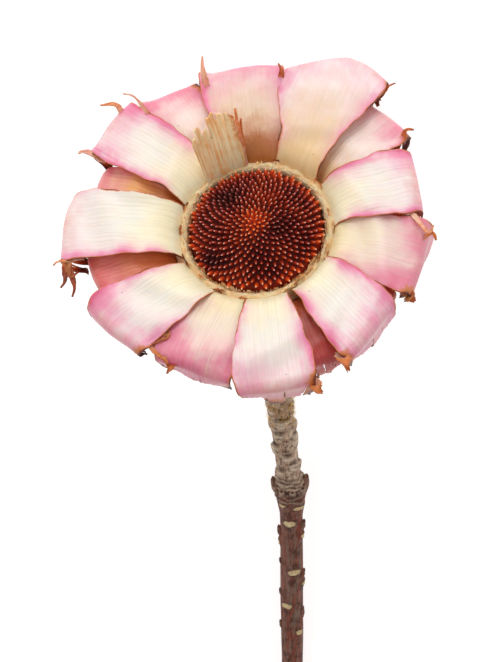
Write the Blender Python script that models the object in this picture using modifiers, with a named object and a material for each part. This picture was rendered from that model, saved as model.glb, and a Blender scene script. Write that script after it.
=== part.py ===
"""Dried protea rosette on a cut stem, lying on a surface. Blender 4.5, metres, +Z up.

The head is modelled in its own frame: its origin is the middle of the receptacle's rim, +Z looks out of the
face, and azimuths run anticlockwise from +X as the face is seen. The stem is modelled in the frame of the
surface that the flower lies on, measured from that same point.
"""

import math
import random
from collections import namedtuple

import bmesh
import bpy
from mathutils import Euler, Matrix, Vector
from mathutils.geometry import delaunay_2d_cdt, interpolate_bezier

MM = 0.001
GOLDEN_ANGLE = math.radians(137.508)
SEAT_GAP = 0.3 * MM

# How the flower lies
HEAD_ELEVATION = 33.5
HEAD_TURN = 8.1
SETTLE_PITCH = -0.4
SETTLE_ROLL = 2.3

# Receptacle
DISC_RADIUS = 18.0 * MM
DISC_DEPTH = 4.7 * MM
DOME_HEIGHT = 5.0 * MM
STUD_COUNT = 280
STUD_HEIGHT = 0.45 * MM
PIT_DEPTH = 0.45 * MM
RIM_SIDES = 48

# Cut inner bracts: a ragged ring, and one that was left long
RING_RADIUS = 19.4 * MM
RING_WALL = 1.0 * MM
RING_BOTTOM = -4.4 * MM
RING_TOP = 0.2 * MM
RING_STEPS = 66
RING_RAGGED = 0.7 * MM
TALL_AZIMUTH = 110.0
TALL_WIDTH = 10.8 * MM
TALL_LENGTH = 23.5 * MM
TALL_WALL = 0.8 * MM
TALL_LEAN = 0.15
TALL_CURVE = 0.006 / MM
TALL_RAGGED = 0.06

# Bracts
BRACT_WALL = 0.7 * MM
FOLD_RADIUS = 3.2 * MM
STATIONS_PER_STRETCH = (2, 2, 3, 4, 2)
COLUMNS = 4
TIP_SHARE = 0.72
RAGGED_SHARE = 0.18
FOLD_END_ANGLE = -98
CUP_DEPTHS = (0.2 * MM, 0.9 * MM)

# Scaly base of the head: its outline is radius and height in millimetres, from the rim down to the foot
BASE_PROFILE = (
    (20.0, -5.2),
    (20.0, -9.8),
    (18.4, -13.5),
    (14.0, -18.2),
    (8.6, -22.6),
    (5.2, -25.4),
    (4.7, -27.0),
)
BASE_SIDES = 28
SCALE_COUNT = 46
SCALE_CROWDING = 0.8
SCALE_LAST = 14.7 * MM
SCALE_LENGTH = 8.5 * MM
SCALE_WIDTH = 10.0 * MM
SCALE_WALL = 0.8 * MM
SCALE_SUNK = 0.7 * MM
SCALE_LIFT = 2.2 * MM

# Stem: centre line from the head to the cut end, measured from the middle of the receptacle's rim
STEM_ROUTE = (
    (3.24, -22.72, -15.21),
    (4.7, -33.0, -21.8),
    (5.9, -52.0, -29.0),
    (7.2, -76.0, -33.0),
    (10.0, -103.0, -35.0),
    (10.6, -136.0, -37.0),
    (11.0, -168.0, -39.1),
    (11.2, -212.0, -41.9),
)
STEM_RINGS = 64
STEM_SIDES = 12
STEM_WAVE = 0.03

# Distance from the head and radius there in millimetres. The collar marks where one year's growth ended.
STEM_PROFILE = (
    (0, 4.7),
    (22, 4.0),
    (60, 3.65),
    (80, 3.5),
    (83, 4.7),
    (86, 4.6),
    (93, 3.6),
    (130, 3.3),
    (210, 3.4),
)
COLLAR_DISTANCE = 83.0 * MM
COLLAR_LEAF_BASES = 9
DENSE_LEAF_BASES = 26
SPARSE_LEAF_BASES = 14
LEAF_BASE_LENGTH = 5.4 * MM
LEAF_BASE_WIDTH = 4.4 * MM
LEAF_BASE_TIP_WIDTH = 2.0 * MM
LEAF_BASE_FLATNESS = 0.6
LEAF_BASE_LEAN = 0.35
LEAF_BASE_SUNK = 0.35 * MM

# A row is one whorl of bracts. Its angles are the direction of the blade above the horizontal, in degrees,
# at the root, after each of two rising stretches and where the fold begins. The tucked bracts stand in the
# upper whorl too, but lie a little lower, with their edges under those of their neighbours.
Row = namedtuple("Row", "root_radius root_height angles rise")
ROWS = {
    "upper": Row(19.75 * MM, -4.8 * MM, (88, 70, 9, -15), (4.2 * MM, 8.0 * MM)),
    "tucked": Row(19.75 * MM, -4.8 * MM, (88, 68, 8, -15), (4.0 * MM, 6.2 * MM)),
    "middle": Row(20.4 * MM, -7.4 * MM, (84, 58, 6, -15), (4.8 * MM, 7.6 * MM)),
    "lower": Row(20.8 * MM, -9.9 * MM, (70, 38, 2, -18), (4.6 * MM, 6.0 * MM)),
}

# azimuth is the direction of the fold, swing how far it has turned from the root's, reach its distance from
# the axis, width its own length, skew its slant, bow its bulge in the middle, flap the length folded back,
# curl the turn of the flap and root the width at the root. A bract whose flare is over 1 widens late.
BOW_SHARPNESS = 1.3
Bract = namedtuple("Bract", "row azimuth swing reach width skew bow flap curl root flare", defaults=(1.0,))
BRACTS = (
    Bract("upper", 91.5, 1, 48.6, 20.8, 3, 0.6, 11.5, 16, 11.6),
    Bract("upper", 136, 3, 50.7, 18.6, -3, 0.7, 12.0, 24, 13.0),
    Bract("upper", 172.3, -3, 50.3, 20.4, 4, 0.6, 12.5, 18, 15.2),
    Bract("upper", 212, -6, 46.2, 20.5, -9, 0.7, 12.0, 20, 10.6),
    Bract("upper", 272, -1.5, 46.9, 21.4, 1.5, 0.6, 13.0, 16, 9.8),
    Bract("upper", 308, -2, 44.2, 20.6, -6, 0.8, 12.0, 22, 12.4),
    Bract("upper", 10, -2, 43.4, 19.6, 5, 0.6, 12.0, 18, 12.4),
    Bract("upper", 58.8, 6.3, 49.4, 27.8, -14, 6.4, 11.5, 22, 12.6, flare=2.0),
    Bract("tucked", 243, -3, 43.2, 19.4, 0, 0.6, 12.0, 18, 6.5),
    Bract("tucked", 340.2, -0.8, 44.6, 19.4, 3, 0.6, 12.5, 20, 7.8),
    Bract("middle", 38.5, 1.5, 47.6, 17.0, -3, 0.5, 11.0, 20, 10.4),
    Bract("middle", 114, 0, 50.0, 16.0, 9, 0.5, 10.5, 26, 10.4),
    Bract("middle", 153, 0, 45.6, 10.5, -5, 0.4, 11.0, 20, 10.4),
    Bract("middle", 189, 0, 43.6, 13.0, -5, 0.5, 11.0, 24, 10.4),
    Bract("middle", 291, 0, 42.6, 12.0, 2, 0.5, 11.0, 22, 10.4),
    Bract("lower", 350, -2, 37.9, 19.0, 3, 0.9, 10.5, 20, 14.6),
    Bract("lower", 38, -1, 39.4, 18.0, -3, 0.9, 10.5, 22, 15.4),
    Bract("lower", 81, -2, 40.5, 18.0, 3, 0.9, 10.0, 24, 15.4),
    Bract("lower", 131, 1, 40.0, 18.0, -3, 0.9, 10.5, 22, 15.4),
    Bract("lower", 176, 1, 38.6, 18.5, 3, 0.9, 10.5, 22, 15.4),
    Bract("lower", 224, 3, 38.6, 20.0, 4, 0.9, 10.5, 22, 15.4),
    Bract("lower", 265, 0, 37.0, 17.0, -3, 0.9, 10.5, 20, 15.4),
    Bract("lower", 318, 6, 38.2, 17.6, 3, 0.9, 10.5, 20, 13.6),
)


def clear_scene():
    for obj in list(bpy.data.objects):
        bpy.data.objects.remove(obj)


def new_collection(name):
    collection = bpy.data.collections.new(name)
    bpy.context.scene.collection.children.link(collection)
    return collection


def new_material(name, colour, roughness):
    material = bpy.data.materials.new(name)
    material.use_nodes = True
    shader = material.node_tree.nodes["Principled BSDF"]
    shader.inputs["Base Color"].default_value = (*colour, 1.0)
    shader.inputs["Roughness"].default_value = roughness
    shader.inputs["Metallic"].default_value = 0.0
    return material


def object_from_bmesh(name, bm, collection, material=None):
    mesh = bpy.data.meshes.new(name)
    bm.to_mesh(mesh)
    bm.free()
    mesh.shade_smooth()
    mesh.set_sharp_from_angle(angle=math.radians(40))
    if material:
        mesh.materials.append(material)
    obj = bpy.data.objects.new(name, mesh)
    collection.objects.link(obj)
    return obj


def sheet_from_bmesh(name, bm, wall, collection, material=None, offset=-1.0):
    """A sheet with a wall behind it, split into triangles first so that both its sides are alike."""
    bmesh.ops.triangulate(bm, faces=bm.faces, quad_method="FIXED")
    obj = object_from_bmesh(name, bm, collection, material)
    solidify = obj.modifiers.new("Wall", "SOLIDIFY")
    solidify.thickness = wall
    solidify.offset = offset
    return obj


def apply_modifiers(obj):
    """Bakes an object's modifiers into its mesh."""
    graph = bpy.context.evaluated_depsgraph_get()
    mesh = bpy.data.meshes.new_from_object(obj.evaluated_get(graph))
    obj.modifiers.clear()
    obj.data = mesh


def fill_hollows(obj):
    """Removes each closed surface that lies inside the outer one, so that the solid has no sealed hollow."""
    bm = bmesh.new()
    bm.from_mesh(obj.data)
    islands = []
    unseen = set(bm.verts)
    while unseen:
        start = unseen.pop()
        island = {start}
        front = [start]
        while front:
            vert = front.pop()
            for edge in vert.link_edges:
                other = edge.other_vert(vert)
                if other in unseen:
                    unseen.remove(other)
                    island.add(other)
                    front.append(other)
        islands.append(island)
    islands.sort(key=len)
    for island in islands[:-1]:
        bmesh.ops.delete(bm, geom=list(island), context="VERTS")
    bm.to_mesh(obj.data)
    bm.free()


def fuse(body, repeats):
    """Joins every object of the collection repeats to body as one solid, and removes them."""
    union = body.modifiers.new("Fuse", "BOOLEAN")
    union.operation = "UNION"
    union.operand_type = "COLLECTION"
    union.collection = repeats
    union.solver = "EXACT"
    bpy.context.view_layer.update()
    apply_modifiers(body)
    for obj in list(repeats.objects):
        bpy.data.objects.remove(obj)
    bpy.data.collections.remove(repeats)
    fill_hollows(body)


def smooth_share(x):
    x = min(1.0, max(0.0, x))
    return x * x * (3 - 2 * x)


# Bracts


def arc_point(out, up, angle, end_angle, length, share):
    """The point a share of the way along an arc that leaves (out, up) at angle and ends at end_angle."""
    turn = (end_angle - angle) * share
    radius = length * share / turn
    return (
        out + radius * (math.sin(angle + turn) - math.sin(angle)),
        up - radius * (math.cos(angle + turn) - math.cos(angle)),
    )


def bract_line(row, reach, flap, curl):
    """Side view of a bract as a chain of arcs: two that rise, the blade, the fold, and the flap behind it."""
    root, first, second, brow = (math.radians(a) for a in row.angles)
    fold_end = math.radians(FOLD_END_ANGLE)
    flap_end = fold_end - math.radians(curl)
    fold_length = FOLD_RADIUS * (brow - fold_end)
    out, up = row.root_radius, row.root_height
    gained = FOLD_RADIUS * (1 + math.sin(brow))
    for start, end, length in ((root, first, row.rise[0]), (first, second, row.rise[1])):
        gained += length * (math.sin(end) - math.sin(start)) / (end - start)
    blade_gain = (math.sin(brow) - math.sin(second)) / (brow - second)
    blade = (reach - out - gained) / blade_gain
    stretches = (
        (root, first, row.rise[0]),
        (first, second, row.rise[1]),
        (second, brow, blade),
        (brow, fold_end, fold_length),
        (fold_end, flap_end, flap),
    )
    fold_start = row.rise[0] + row.rise[1] + blade
    points = [(out, up, 0.0, 0.0)]
    travelled = 0.0
    for (start, end, length), steps in zip(stretches, STATIONS_PER_STRETCH):
        for step in range(1, steps + 1):
            share = step / steps
            run = travelled + length * share
            blade_share = min(1.0, run / fold_start)
            flap_share = max(0.0, (run - fold_start) / (fold_length + flap))
            points.append((*arc_point(out, up, start, end, length, share), blade_share, flap_share))
        out, up = arc_point(out, up, start, end, length, 1.0)
        travelled += length
    return points


def bract_columns(bract, seed):
    """Surface points of a bract, column by column across its width, in the head's frame."""
    row = ROWS[bract.row]
    rng = random.Random(seed)
    cup = rng.uniform(*CUP_DEPTHS)
    half_fold = bract.width * MM / 2
    columns = []
    for index in range(COLUMNS + 1):
        across = 2 * index / COLUMNS - 1
        slant = across * half_fold * math.tan(math.radians(bract.skew))
        reach = (bract.reach + bract.bow * (1 - abs(across) ** BOW_SHARPNESS)) * MM + slant
        flap = bract.flap * MM * (1 + RAGGED_SHARE * rng.uniform(-1.0, 1.0))
        column = []
        for out, up, blade_share, flap_share in bract_line(row, reach, flap, bract.curl):
            widening = smooth_share(blade_share)
            width = (bract.root + (bract.width - bract.root) * widening**bract.flare) * MM
            width *= 1 - (1 - TIP_SHARE) * flap_share
            lateral = across * width / 2
            bend = max(1e-6, (1 - blade_share) ** 1.5) / out
            near = out - (1 - math.cos(bend * lateral)) / bend
            side = math.sin(bend * lateral) / bend
            lift = cup * across**2 * math.sin(math.pi * blade_share) * (1 - flap_share)
            turn = math.radians(bract.azimuth - bract.swing * (1 - widening))
            column.append(Matrix.Rotation(turn, 4, "Z") @ Vector((near, side, up + lift)))
        columns.append(column)
    return columns


def make_bract(name, bract, seed, collection, material):
    stations = sum(STATIONS_PER_STRETCH)
    columns = bract_columns(bract, seed)
    bm = bmesh.new()
    bmesh.ops.create_grid(bm, x_segments=stations, y_segments=COLUMNS, size=1.0)
    for vert in bm.verts:
        station = round((vert.co.x + 1) / 2 * stations)
        column = round((vert.co.y + 1) / 2 * COLUMNS)
        vert.co = columns[column][station]
    return sheet_from_bmesh(name, bm, BRACT_WALL, collection, material)


def make_bracts(collection, materials):
    """Every folded bract as its own object, numbered within its row."""
    counts = dict.fromkeys(ROWS, 0)
    made = []
    for seed, bract in enumerate(BRACTS):
        counts[bract.row] += 1
        name = f"bract_{bract.row}_{counts[bract.row]:02d}"
        made.append(make_bract(name, bract, seed, collection, materials[bract.row]))
    return made


# Receptacle


def dome_height(radius):
    return DOME_HEIGHT * (1 - (radius / DISC_RADIUS) ** 2)


def make_receptacle(collection, material):
    """Domed disc. Studs stand on a sunflower spiral, and each face between three of them sinks to a pit."""
    spacing = math.sqrt(math.pi / STUD_COUNT) * DISC_RADIUS
    outermost = DISC_RADIUS - 0.55 * spacing
    points = []
    for index in range(STUD_COUNT):
        angle = index * GOLDEN_ANGLE
        radius = outermost * math.sqrt((index + 0.5) / STUD_COUNT)
        points.append(radius * Vector((math.cos(angle), math.sin(angle))))
    for index in range(RIM_SIDES):
        angle = 2 * math.pi * index / RIM_SIDES
        points.append(DISC_RADIUS * Vector((math.cos(angle), math.sin(angle))))
    flat, _, triangles, *_ = delaunay_2d_cdt([p / DISC_RADIUS for p in points], [], [], 0, 1e-6)
    bm = bmesh.new()
    verts = [bm.verts.new((*(p * DISC_RADIUS), 0.0)) for p in flat]
    for triangle in triangles:
        bm.faces.new([verts[i] for i in triangle])
    bmesh.ops.recalc_face_normals(bm, faces=bm.faces)
    rim = [edge for edge in bm.edges if edge.is_boundary]
    pits = set(bmesh.ops.poke(bm, faces=bm.faces)["verts"])
    for vert in bm.verts:
        radius = vert.co.to_2d().length
        if vert in pits:
            vert.co.z = dome_height(radius) - PIT_DEPTH
        elif radius < DISC_RADIUS * 0.999:
            vert.co.z = dome_height(radius) + STUD_HEIGHT
    wall = bmesh.ops.extrude_edge_only(bm, edges=rim)["geom"]
    for vert in (g for g in wall if isinstance(g, bmesh.types.BMVert)):
        vert.co.z = -DISC_DEPTH
    bmesh.ops.holes_fill(bm, edges=[edge for edge in bm.edges if edge.is_boundary])
    bmesh.ops.recalc_face_normals(bm, faces=bm.faces)
    return object_from_bmesh("receptacle", bm, collection, material)


# Ring of cut inner bracts


def make_inner_ring(collection, material):
    """Papery band of cut-off inner bracts round the disc, open where the one tall bract stands."""
    rng = random.Random(7)
    gap = math.degrees((TALL_WIDTH + 3.2 * SEAT_GAP) / RING_RADIUS)
    bm = bmesh.new()
    bmesh.ops.create_grid(bm, x_segments=RING_STEPS, y_segments=1, size=1.0)
    tops = [RING_TOP + RING_RAGGED * rng.uniform(-1.0, 1.0) for _ in range(RING_STEPS + 1)]
    for vert in bm.verts:
        share = (vert.co.x + 1) / 2
        top = tops[round(share * RING_STEPS)]
        azimuth = math.radians(TALL_AZIMUTH + gap / 2 + share * (360 - gap))
        height = RING_BOTTOM + (top - RING_BOTTOM) * (vert.co.y + 1) / 2
        vert.co = (RING_RADIUS * math.cos(azimuth), RING_RADIUS * math.sin(azimuth), height)
    return sheet_from_bmesh("inner_bract_ring", bm, RING_WALL, collection, material)


def make_tall_bract(collection, material):
    """The one inner bract that was left long. It stands in the ring's gap and leans outward."""
    rng = random.Random(11)
    rows, columns = 6, 5
    tops = [TALL_LENGTH * (1 + TALL_RAGGED * rng.uniform(-1, 1)) for _ in range(columns + 1)]
    bm = bmesh.new()
    bmesh.ops.create_grid(bm, x_segments=columns, y_segments=rows, size=1.0)
    for vert in bm.verts:
        column = round((vert.co.x + 1) / 2 * columns)
        share = (vert.co.y + 1) / 2
        length = tops[column] * share
        standing = max(0.0, length + RING_BOTTOM)
        lean = TALL_LEAN * standing + TALL_CURVE * standing**2
        curvature = (1 - 0.5 * share) / RING_RADIUS
        side = vert.co.x * TALL_WIDTH / 2 * (1 + 0.08 * share)
        out = RING_RADIUS + lean - (1 - math.cos(curvature * side)) / curvature
        vert.co = (out, math.sin(curvature * side) / curvature, RING_BOTTOM + length)
    turn = Matrix.Rotation(math.radians(TALL_AZIMUTH), 3, "Z")
    bmesh.ops.rotate(bm, verts=bm.verts, cent=(0, 0, 0), matrix=turn)
    return sheet_from_bmesh("inner_bract_tall", bm, TALL_WALL, collection, material)


# Scaly base


def flank(arc):
    """Point of the base's outline a length arc up its flank from the foot, and the outward normal there."""
    points = [Vector(point) * MM for point in reversed(BASE_PROFILE)]
    for low, high in zip(points, points[1:]):
        step = (high - low).length
        if arc <= step:
            break
        arc -= step
    along = (high - low) / step
    return low + along * arc, Vector((along.y, -along.x))


def make_base_body(collection, material):
    bm = bmesh.new()
    outline = [(0.0, BASE_PROFILE[0][1]), *BASE_PROFILE, (0.0, BASE_PROFILE[-1][1])]
    verts = [bm.verts.new((radius * MM, 0, height * MM)) for radius, height in outline]
    for first, second in zip(verts, verts[1:]):
        bm.edges.new((first, second))
    obj = object_from_bmesh("scaly_base", bm, collection, material)
    turn = obj.modifiers.new("Turn", "SCREW")
    turn.steps = BASE_SIDES
    turn.render_steps = BASE_SIDES
    turn.use_merge_vertices = True
    turn.merge_threshold = 0.00001
    return obj


def make_scale(index, collection):
    """One small ovate scale that follows the base's flank, its root sunk in it and its tip lifted."""
    share = (index / (SCALE_COUNT - 1)) ** SCALE_CROWDING
    start = SCALE_LAST * share
    length = SCALE_LENGTH * (0.75 + 0.25 * share)
    half_width = SCALE_WIDTH / 2 * (0.5 + 0.5 * share)
    bm = bmesh.new()
    bmesh.ops.create_grid(bm, x_segments=3, y_segments=3, size=1.0)
    for vert in bm.verts:
        along = (vert.co.y + 1) / 2
        point, normal = flank(start + length * along)
        point += normal * (SCALE_LIFT * along - SCALE_SUNK)
        side = vert.co.x * half_width * (1 - 0.75 * along**3)
        vert.co = (point.x - side**2 / (2.2 * point.x), side, point.y)
    azimuth = Matrix.Rotation(index * GOLDEN_ANGLE, 3, "Z")
    bmesh.ops.rotate(bm, verts=bm.verts, cent=(0, 0, 0), matrix=azimuth)
    obj = sheet_from_bmesh(f"scale_{index:02d}", bm, SCALE_WALL, collection, offset=0.0)
    apply_modifiers(obj)


def make_scaly_base(collection, material):
    base = make_base_body(collection, material)
    bpy.context.view_layer.update()
    apply_modifiers(base)
    scales = new_collection("scales")
    for index in range(SCALE_COUNT):
        make_scale(index, scales)
    fuse(base, scales)
    return base


# Stem


def stem_line(count):
    """Evenly numbered points and directions along a smooth curve through the stem's route."""
    knots = [Vector(p) * MM for p in STEM_ROUTE]
    tangents = []
    for index in range(len(knots)):
        before = knots[max(0, index - 1)]
        after = knots[min(len(knots) - 1, index + 1)]
        tangents.append((after - before).normalized())
    fine = []
    for (a, b), (ta, tb) in zip(zip(knots, knots[1:]), zip(tangents, tangents[1:])):
        third = (b - a).length / 3
        fine += interpolate_bezier(a, a + ta * third, b - tb * third, b, 24)[:-1]
    fine.append(knots[-1])
    travelled = [0.0]
    for a, b in zip(fine, fine[1:]):
        travelled.append(travelled[-1] + (b - a).length)
    line = []
    segment = 0
    for step in range(count + 1):
        wanted = travelled[-1] * step / count
        while segment < len(fine) - 2 and travelled[segment + 1] < wanted:
            segment += 1
        share = (wanted - travelled[segment]) / (travelled[segment + 1] - travelled[segment])
        line.append((fine[segment].lerp(fine[segment + 1], share), wanted))
    return line


def stem_radius(distance):
    """Radius of the stem's core a distance from the head."""
    along = distance / MM
    for (start, radius), (end, next_radius) in zip(STEM_PROFILE, STEM_PROFILE[1:]):
        if along <= end:
            return (radius + (next_radius - radius) * (along - start) / (end - start)) * MM
    return STEM_PROFILE[-1][1] * MM


def stem_frames(line):
    """A frame at each point of the line, turned no more than the line itself turns."""
    frames = []
    side = Vector((1, 0, 0))
    for index, (point, distance) in enumerate(line):
        ahead = line[min(index + 1, len(line) - 1)][0]
        behind = line[max(index - 1, 0)][0]
        along = (ahead - behind).normalized()
        side = (side - along * side.dot(along)).normalized()
        frames.append((point, distance, along, side, along.cross(side)))
    return frames


def make_leaf_base(frame, angle, size, name, collection):
    """Stump of a leaf: a flat cone pressed to the stem, its root sunk in it, its tip towards the head."""
    point, distance, along, side, other = frame
    outward = side * math.cos(angle) + other * math.sin(angle)
    bm = bmesh.new()
    bmesh.ops.create_cone(
        bm,
        cap_ends=True,
        segments=6,
        radius1=LEAF_BASE_WIDTH / 2,
        radius2=LEAF_BASE_TIP_WIDTH / 2,
        depth=LEAF_BASE_LENGTH,
    )
    bmesh.ops.scale(bm, verts=bm.verts, vec=Vector((1.0, LEAF_BASE_FLATNESS, 1.0)) * size)
    tip = (outward * LEAF_BASE_LEAN - along).normalized()
    across = along.cross(outward)
    turn = Matrix((across, tip.cross(across), tip)).transposed()
    bmesh.ops.rotate(bm, verts=bm.verts, cent=(0, 0, 0), matrix=turn)
    bmesh.ops.translate(bm, verts=bm.verts, vec=point + outward * (stem_radius(distance) - LEAF_BASE_SUNK))
    object_from_bmesh(name, bm, collection)


def leaf_base_places():
    """Distance along the stem, angle round it and size of each leaf base: crowded above the collar."""
    rng = random.Random(3)
    crowded = COLLAR_DISTANCE * 0.97 / DENSE_LEAF_BASES
    spaced = (STEM_PROFILE[-1][0] * MM - COLLAR_DISTANCE) * 0.9 / SPARSE_LEAF_BASES
    for index in range(DENSE_LEAF_BASES):
        yield (index + 0.5) * crowded, index * GOLDEN_ANGLE, rng.uniform(0.75, 0.95)
    for index in range(COLLAR_LEAF_BASES):
        yield COLLAR_DISTANCE + 1.5 * MM, 2 * math.pi * index / COLLAR_LEAF_BASES, rng.uniform(0.8, 1.0)
    for index in range(SPARSE_LEAF_BASES):
        yield COLLAR_DISTANCE + (index + 0.8) * spaced, index * GOLDEN_ANGLE, rng.uniform(0.7, 0.95)


def make_stem(collection, material):
    line = stem_line(STEM_RINGS)
    frames = stem_frames(line)
    bm = bmesh.new()
    bmesh.ops.create_cone(bm, cap_ends=True, segments=STEM_SIDES, radius1=1.0, radius2=1.0, depth=1.0)
    upright = [e for e in bm.edges if abs(e.verts[0].co.z - e.verts[1].co.z) > 0.5]
    bmesh.ops.subdivide_edges(bm, edges=upright, cuts=STEM_RINGS - 1, use_grid_fill=True)
    for vert in bm.verts:
        point, distance, along, side, other = frames[round((0.5 - vert.co.z) * STEM_RINGS)]
        angle = math.atan2(vert.co.y, vert.co.x)
        radius = stem_radius(distance) * (1 + STEM_WAVE * math.sin(2 * angle + distance / (9 * MM)))
        vert.co = point + (side * math.cos(angle) - other * math.sin(angle)) * radius
    bmesh.ops.recalc_face_normals(bm, faces=bm.faces)
    stem = object_from_bmesh("stem", bm, collection, material)
    stumps = new_collection("leaf_bases")
    length = line[-1][1]
    for index, (distance, angle, size) in enumerate(leaf_base_places()):
        frame = frames[min(STEM_RINGS - 1, max(1, round(distance / length * STEM_RINGS)))]
        make_leaf_base(frame, angle, size, f"leaf_base_{index:02d}", stumps)
    fuse(stem, stumps)
    return stem


# Laying the flower down


def lowest_and_highest(objects):
    graph = bpy.context.evaluated_depsgraph_get()
    points = []
    for obj in objects:
        evaluated = obj.evaluated_get(graph)
        points += [evaluated.matrix_world @ v.co for v in evaluated.data.vertices]
    low = Vector(min(p[axis] for p in points) for axis in range(3))
    high = Vector(max(p[axis] for p in points) for axis in range(3))
    return low, high


def lay_down(head_parts, stem):
    """Tilts the head as it lies, and sets the whole flower on the surface, centred on the origin."""
    flower = bpy.data.objects.new("flower", None)
    head = bpy.data.objects.new("head", None)
    for empty in (flower, head):
        bpy.context.scene.collection.objects.link(empty)
    flower.rotation_euler = Euler((math.radians(SETTLE_PITCH), math.radians(SETTLE_ROLL), 0))
    head.parent = flower
    head.rotation_euler = Euler((math.radians(HEAD_ELEVATION - 90), 0, math.radians(HEAD_TURN)))
    for obj in head_parts:
        obj.parent = head
    stem.parent = flower
    bpy.context.view_layer.update()
    low, high = lowest_and_highest([*head_parts, stem])
    flower.location = (-(low.x + high.x) / 2, -(low.y + high.y) / 2, -low.z)
    bpy.context.view_layer.update()


def main():
    clear_scene()
    flower = new_collection("protea")
    cream_pink = new_material("cream_pink_bract", (0.87, 0.68, 0.61), 0.42)
    bract_materials = {
        "upper": cream_pink,
        "tucked": cream_pink,
        "middle": new_material("pink_bract", (0.83, 0.50, 0.48), 0.45),
        "lower": new_material("salmon_brown_bract", (0.55, 0.22, 0.13), 0.5),
    }
    papery = new_material("papery_cream", (0.80, 0.67, 0.42), 0.6)
    dark_brown = new_material("dark_brown_receptacle", (0.12, 0.018, 0.008), 0.5)
    scale_brown = new_material("scale_brown", (0.30, 0.16, 0.08), 0.7)
    bark = new_material("bark", (0.19, 0.11, 0.085), 0.75)
    head_parts = make_bracts(flower, bract_materials)
    head_parts.append(make_receptacle(flower, dark_brown))
    head_parts.append(make_inner_ring(flower, papery))
    head_parts.append(make_tall_bract(flower, papery))
    head_parts.append(make_scaly_base(flower, scale_brown))
    stem = make_stem(flower, bark)
    lay_down(head_parts, stem)


main()
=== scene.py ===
# %% [markdown]
# # A dried protea rosette
# The flower was cut and dried. Its florets are gone, so the studded disc that carried them is bare, and the
# broad bracts round it were folded back to make a rosette. It lies on a surface, leaning on its lowest bract
# and on the end of its woody stem.
#
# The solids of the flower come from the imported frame, which says where everything is. This lesson makes the
# fine surface of each solid: thin sheets instead of slabs, torn tips, bark, and the colours.

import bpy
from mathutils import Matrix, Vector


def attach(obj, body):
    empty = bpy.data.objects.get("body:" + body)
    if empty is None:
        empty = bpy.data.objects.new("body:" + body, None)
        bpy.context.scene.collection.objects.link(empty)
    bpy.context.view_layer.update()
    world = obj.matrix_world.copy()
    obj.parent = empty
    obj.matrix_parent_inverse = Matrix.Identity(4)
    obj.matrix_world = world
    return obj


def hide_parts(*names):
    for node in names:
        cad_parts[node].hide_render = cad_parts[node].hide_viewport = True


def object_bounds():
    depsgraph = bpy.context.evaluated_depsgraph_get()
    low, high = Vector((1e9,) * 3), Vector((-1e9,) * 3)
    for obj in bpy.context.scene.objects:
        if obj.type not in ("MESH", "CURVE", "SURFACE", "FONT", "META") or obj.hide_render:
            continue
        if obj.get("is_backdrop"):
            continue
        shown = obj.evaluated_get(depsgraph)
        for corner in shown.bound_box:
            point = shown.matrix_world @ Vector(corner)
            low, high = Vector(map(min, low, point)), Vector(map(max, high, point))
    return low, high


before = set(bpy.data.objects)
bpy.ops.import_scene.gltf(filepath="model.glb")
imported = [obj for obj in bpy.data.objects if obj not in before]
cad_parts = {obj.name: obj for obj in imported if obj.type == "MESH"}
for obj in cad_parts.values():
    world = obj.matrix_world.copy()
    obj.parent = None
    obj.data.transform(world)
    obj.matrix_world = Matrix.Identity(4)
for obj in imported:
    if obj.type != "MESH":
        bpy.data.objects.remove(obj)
cad_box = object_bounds()
print("solids in the frame:", len(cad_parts))

# %% Modules and units
import math
import random
from collections import namedtuple

import bpy
import numpy as np
from mathutils import Euler, Matrix, Vector
from mathutils.geometry import interpolate_bezier

MM = 0.001
GOLDEN_ANGLE = math.radians(137.508)
print("one millimetre is", MM, "of a Blender unit")

# %% [markdown]
# ## Where the head is
# The head has a frame of its own: its origin is the middle of the disc's rim, +Z looks out of the face, and
# azimuths run anticlockwise from +X as the face is seen. The tilt of the lying flower is known, so the place
# can be read from one solid. The disc is the best one, because it is round: turned upright, the middle of its
# box is the axis of the head, and its lowest point is a known depth under the rim.

# %% The frames of the flower and the head
HEAD_ELEVATION = 33.5
HEAD_TURN = 8.1
SETTLE_PITCH = -0.4
SETTLE_ROLL = 2.3
DISC_RADIUS = 17.5 * MM
DISC_DEPTH = 4.7 * MM

flower_turn = Euler((math.radians(SETTLE_PITCH), math.radians(SETTLE_ROLL), 0)).to_matrix()
head_turn = flower_turn @ Euler((math.radians(HEAD_ELEVATION - 90), 0, math.radians(HEAD_TURN))).to_matrix()
upright = np.array([head_turn.transposed() @ v.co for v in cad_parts["receptacle"].data.vertices])
disc_low, disc_high = upright.min(axis=0), upright.max(axis=0)
disc_middle = (disc_low + disc_high) / 2
disc_centre = head_turn @ Vector((disc_middle[0], disc_middle[1], disc_low[2] + DISC_DEPTH))
HEAD = Matrix.Translation(disc_centre) @ head_turn.to_4x4()
FLOWER = Matrix.Translation(disc_centre) @ flower_turn.to_4x4()
print("middle of the disc's rim:", [round(x, 5) for x in disc_centre])

# %% [markdown]
# ## Helpers for meshes
# Every piece here is an array of points with quads between them: a sheet is a grid, and a stem, a stud or a
# hair is a stack of rings. A modelling tool would do for one of them, but there are thousands. So the points
# are worked out by formulas over whole arrays, and a small collector joins many parts in one mesh. It also
# keeps what is painted on each point, such as how dry it is, for the materials to read.

# %% Formulas over arrays
def grid_quads(rows, columns, closed=False):
    """Quads of a grid with rows + 1 lines of points. In a closed one the last column joins the first."""
    across = columns if closed else columns + 1
    row, column = np.meshgrid(np.arange(rows), np.arange(columns), indexing="ij")
    start = row * across + column
    right = row * across + (column + 1) % across
    return np.stack([start, start + across, right + across, right], axis=-1).reshape(-1, 4)


def sheet_grid(rows, columns):
    """For each point of a sheet, its share of the way along and its place across, from -1 to 1."""
    return np.meshgrid(np.linspace(0, 1, rows + 1), np.linspace(-1, 1, columns + 1), indexing="ij")


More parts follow.
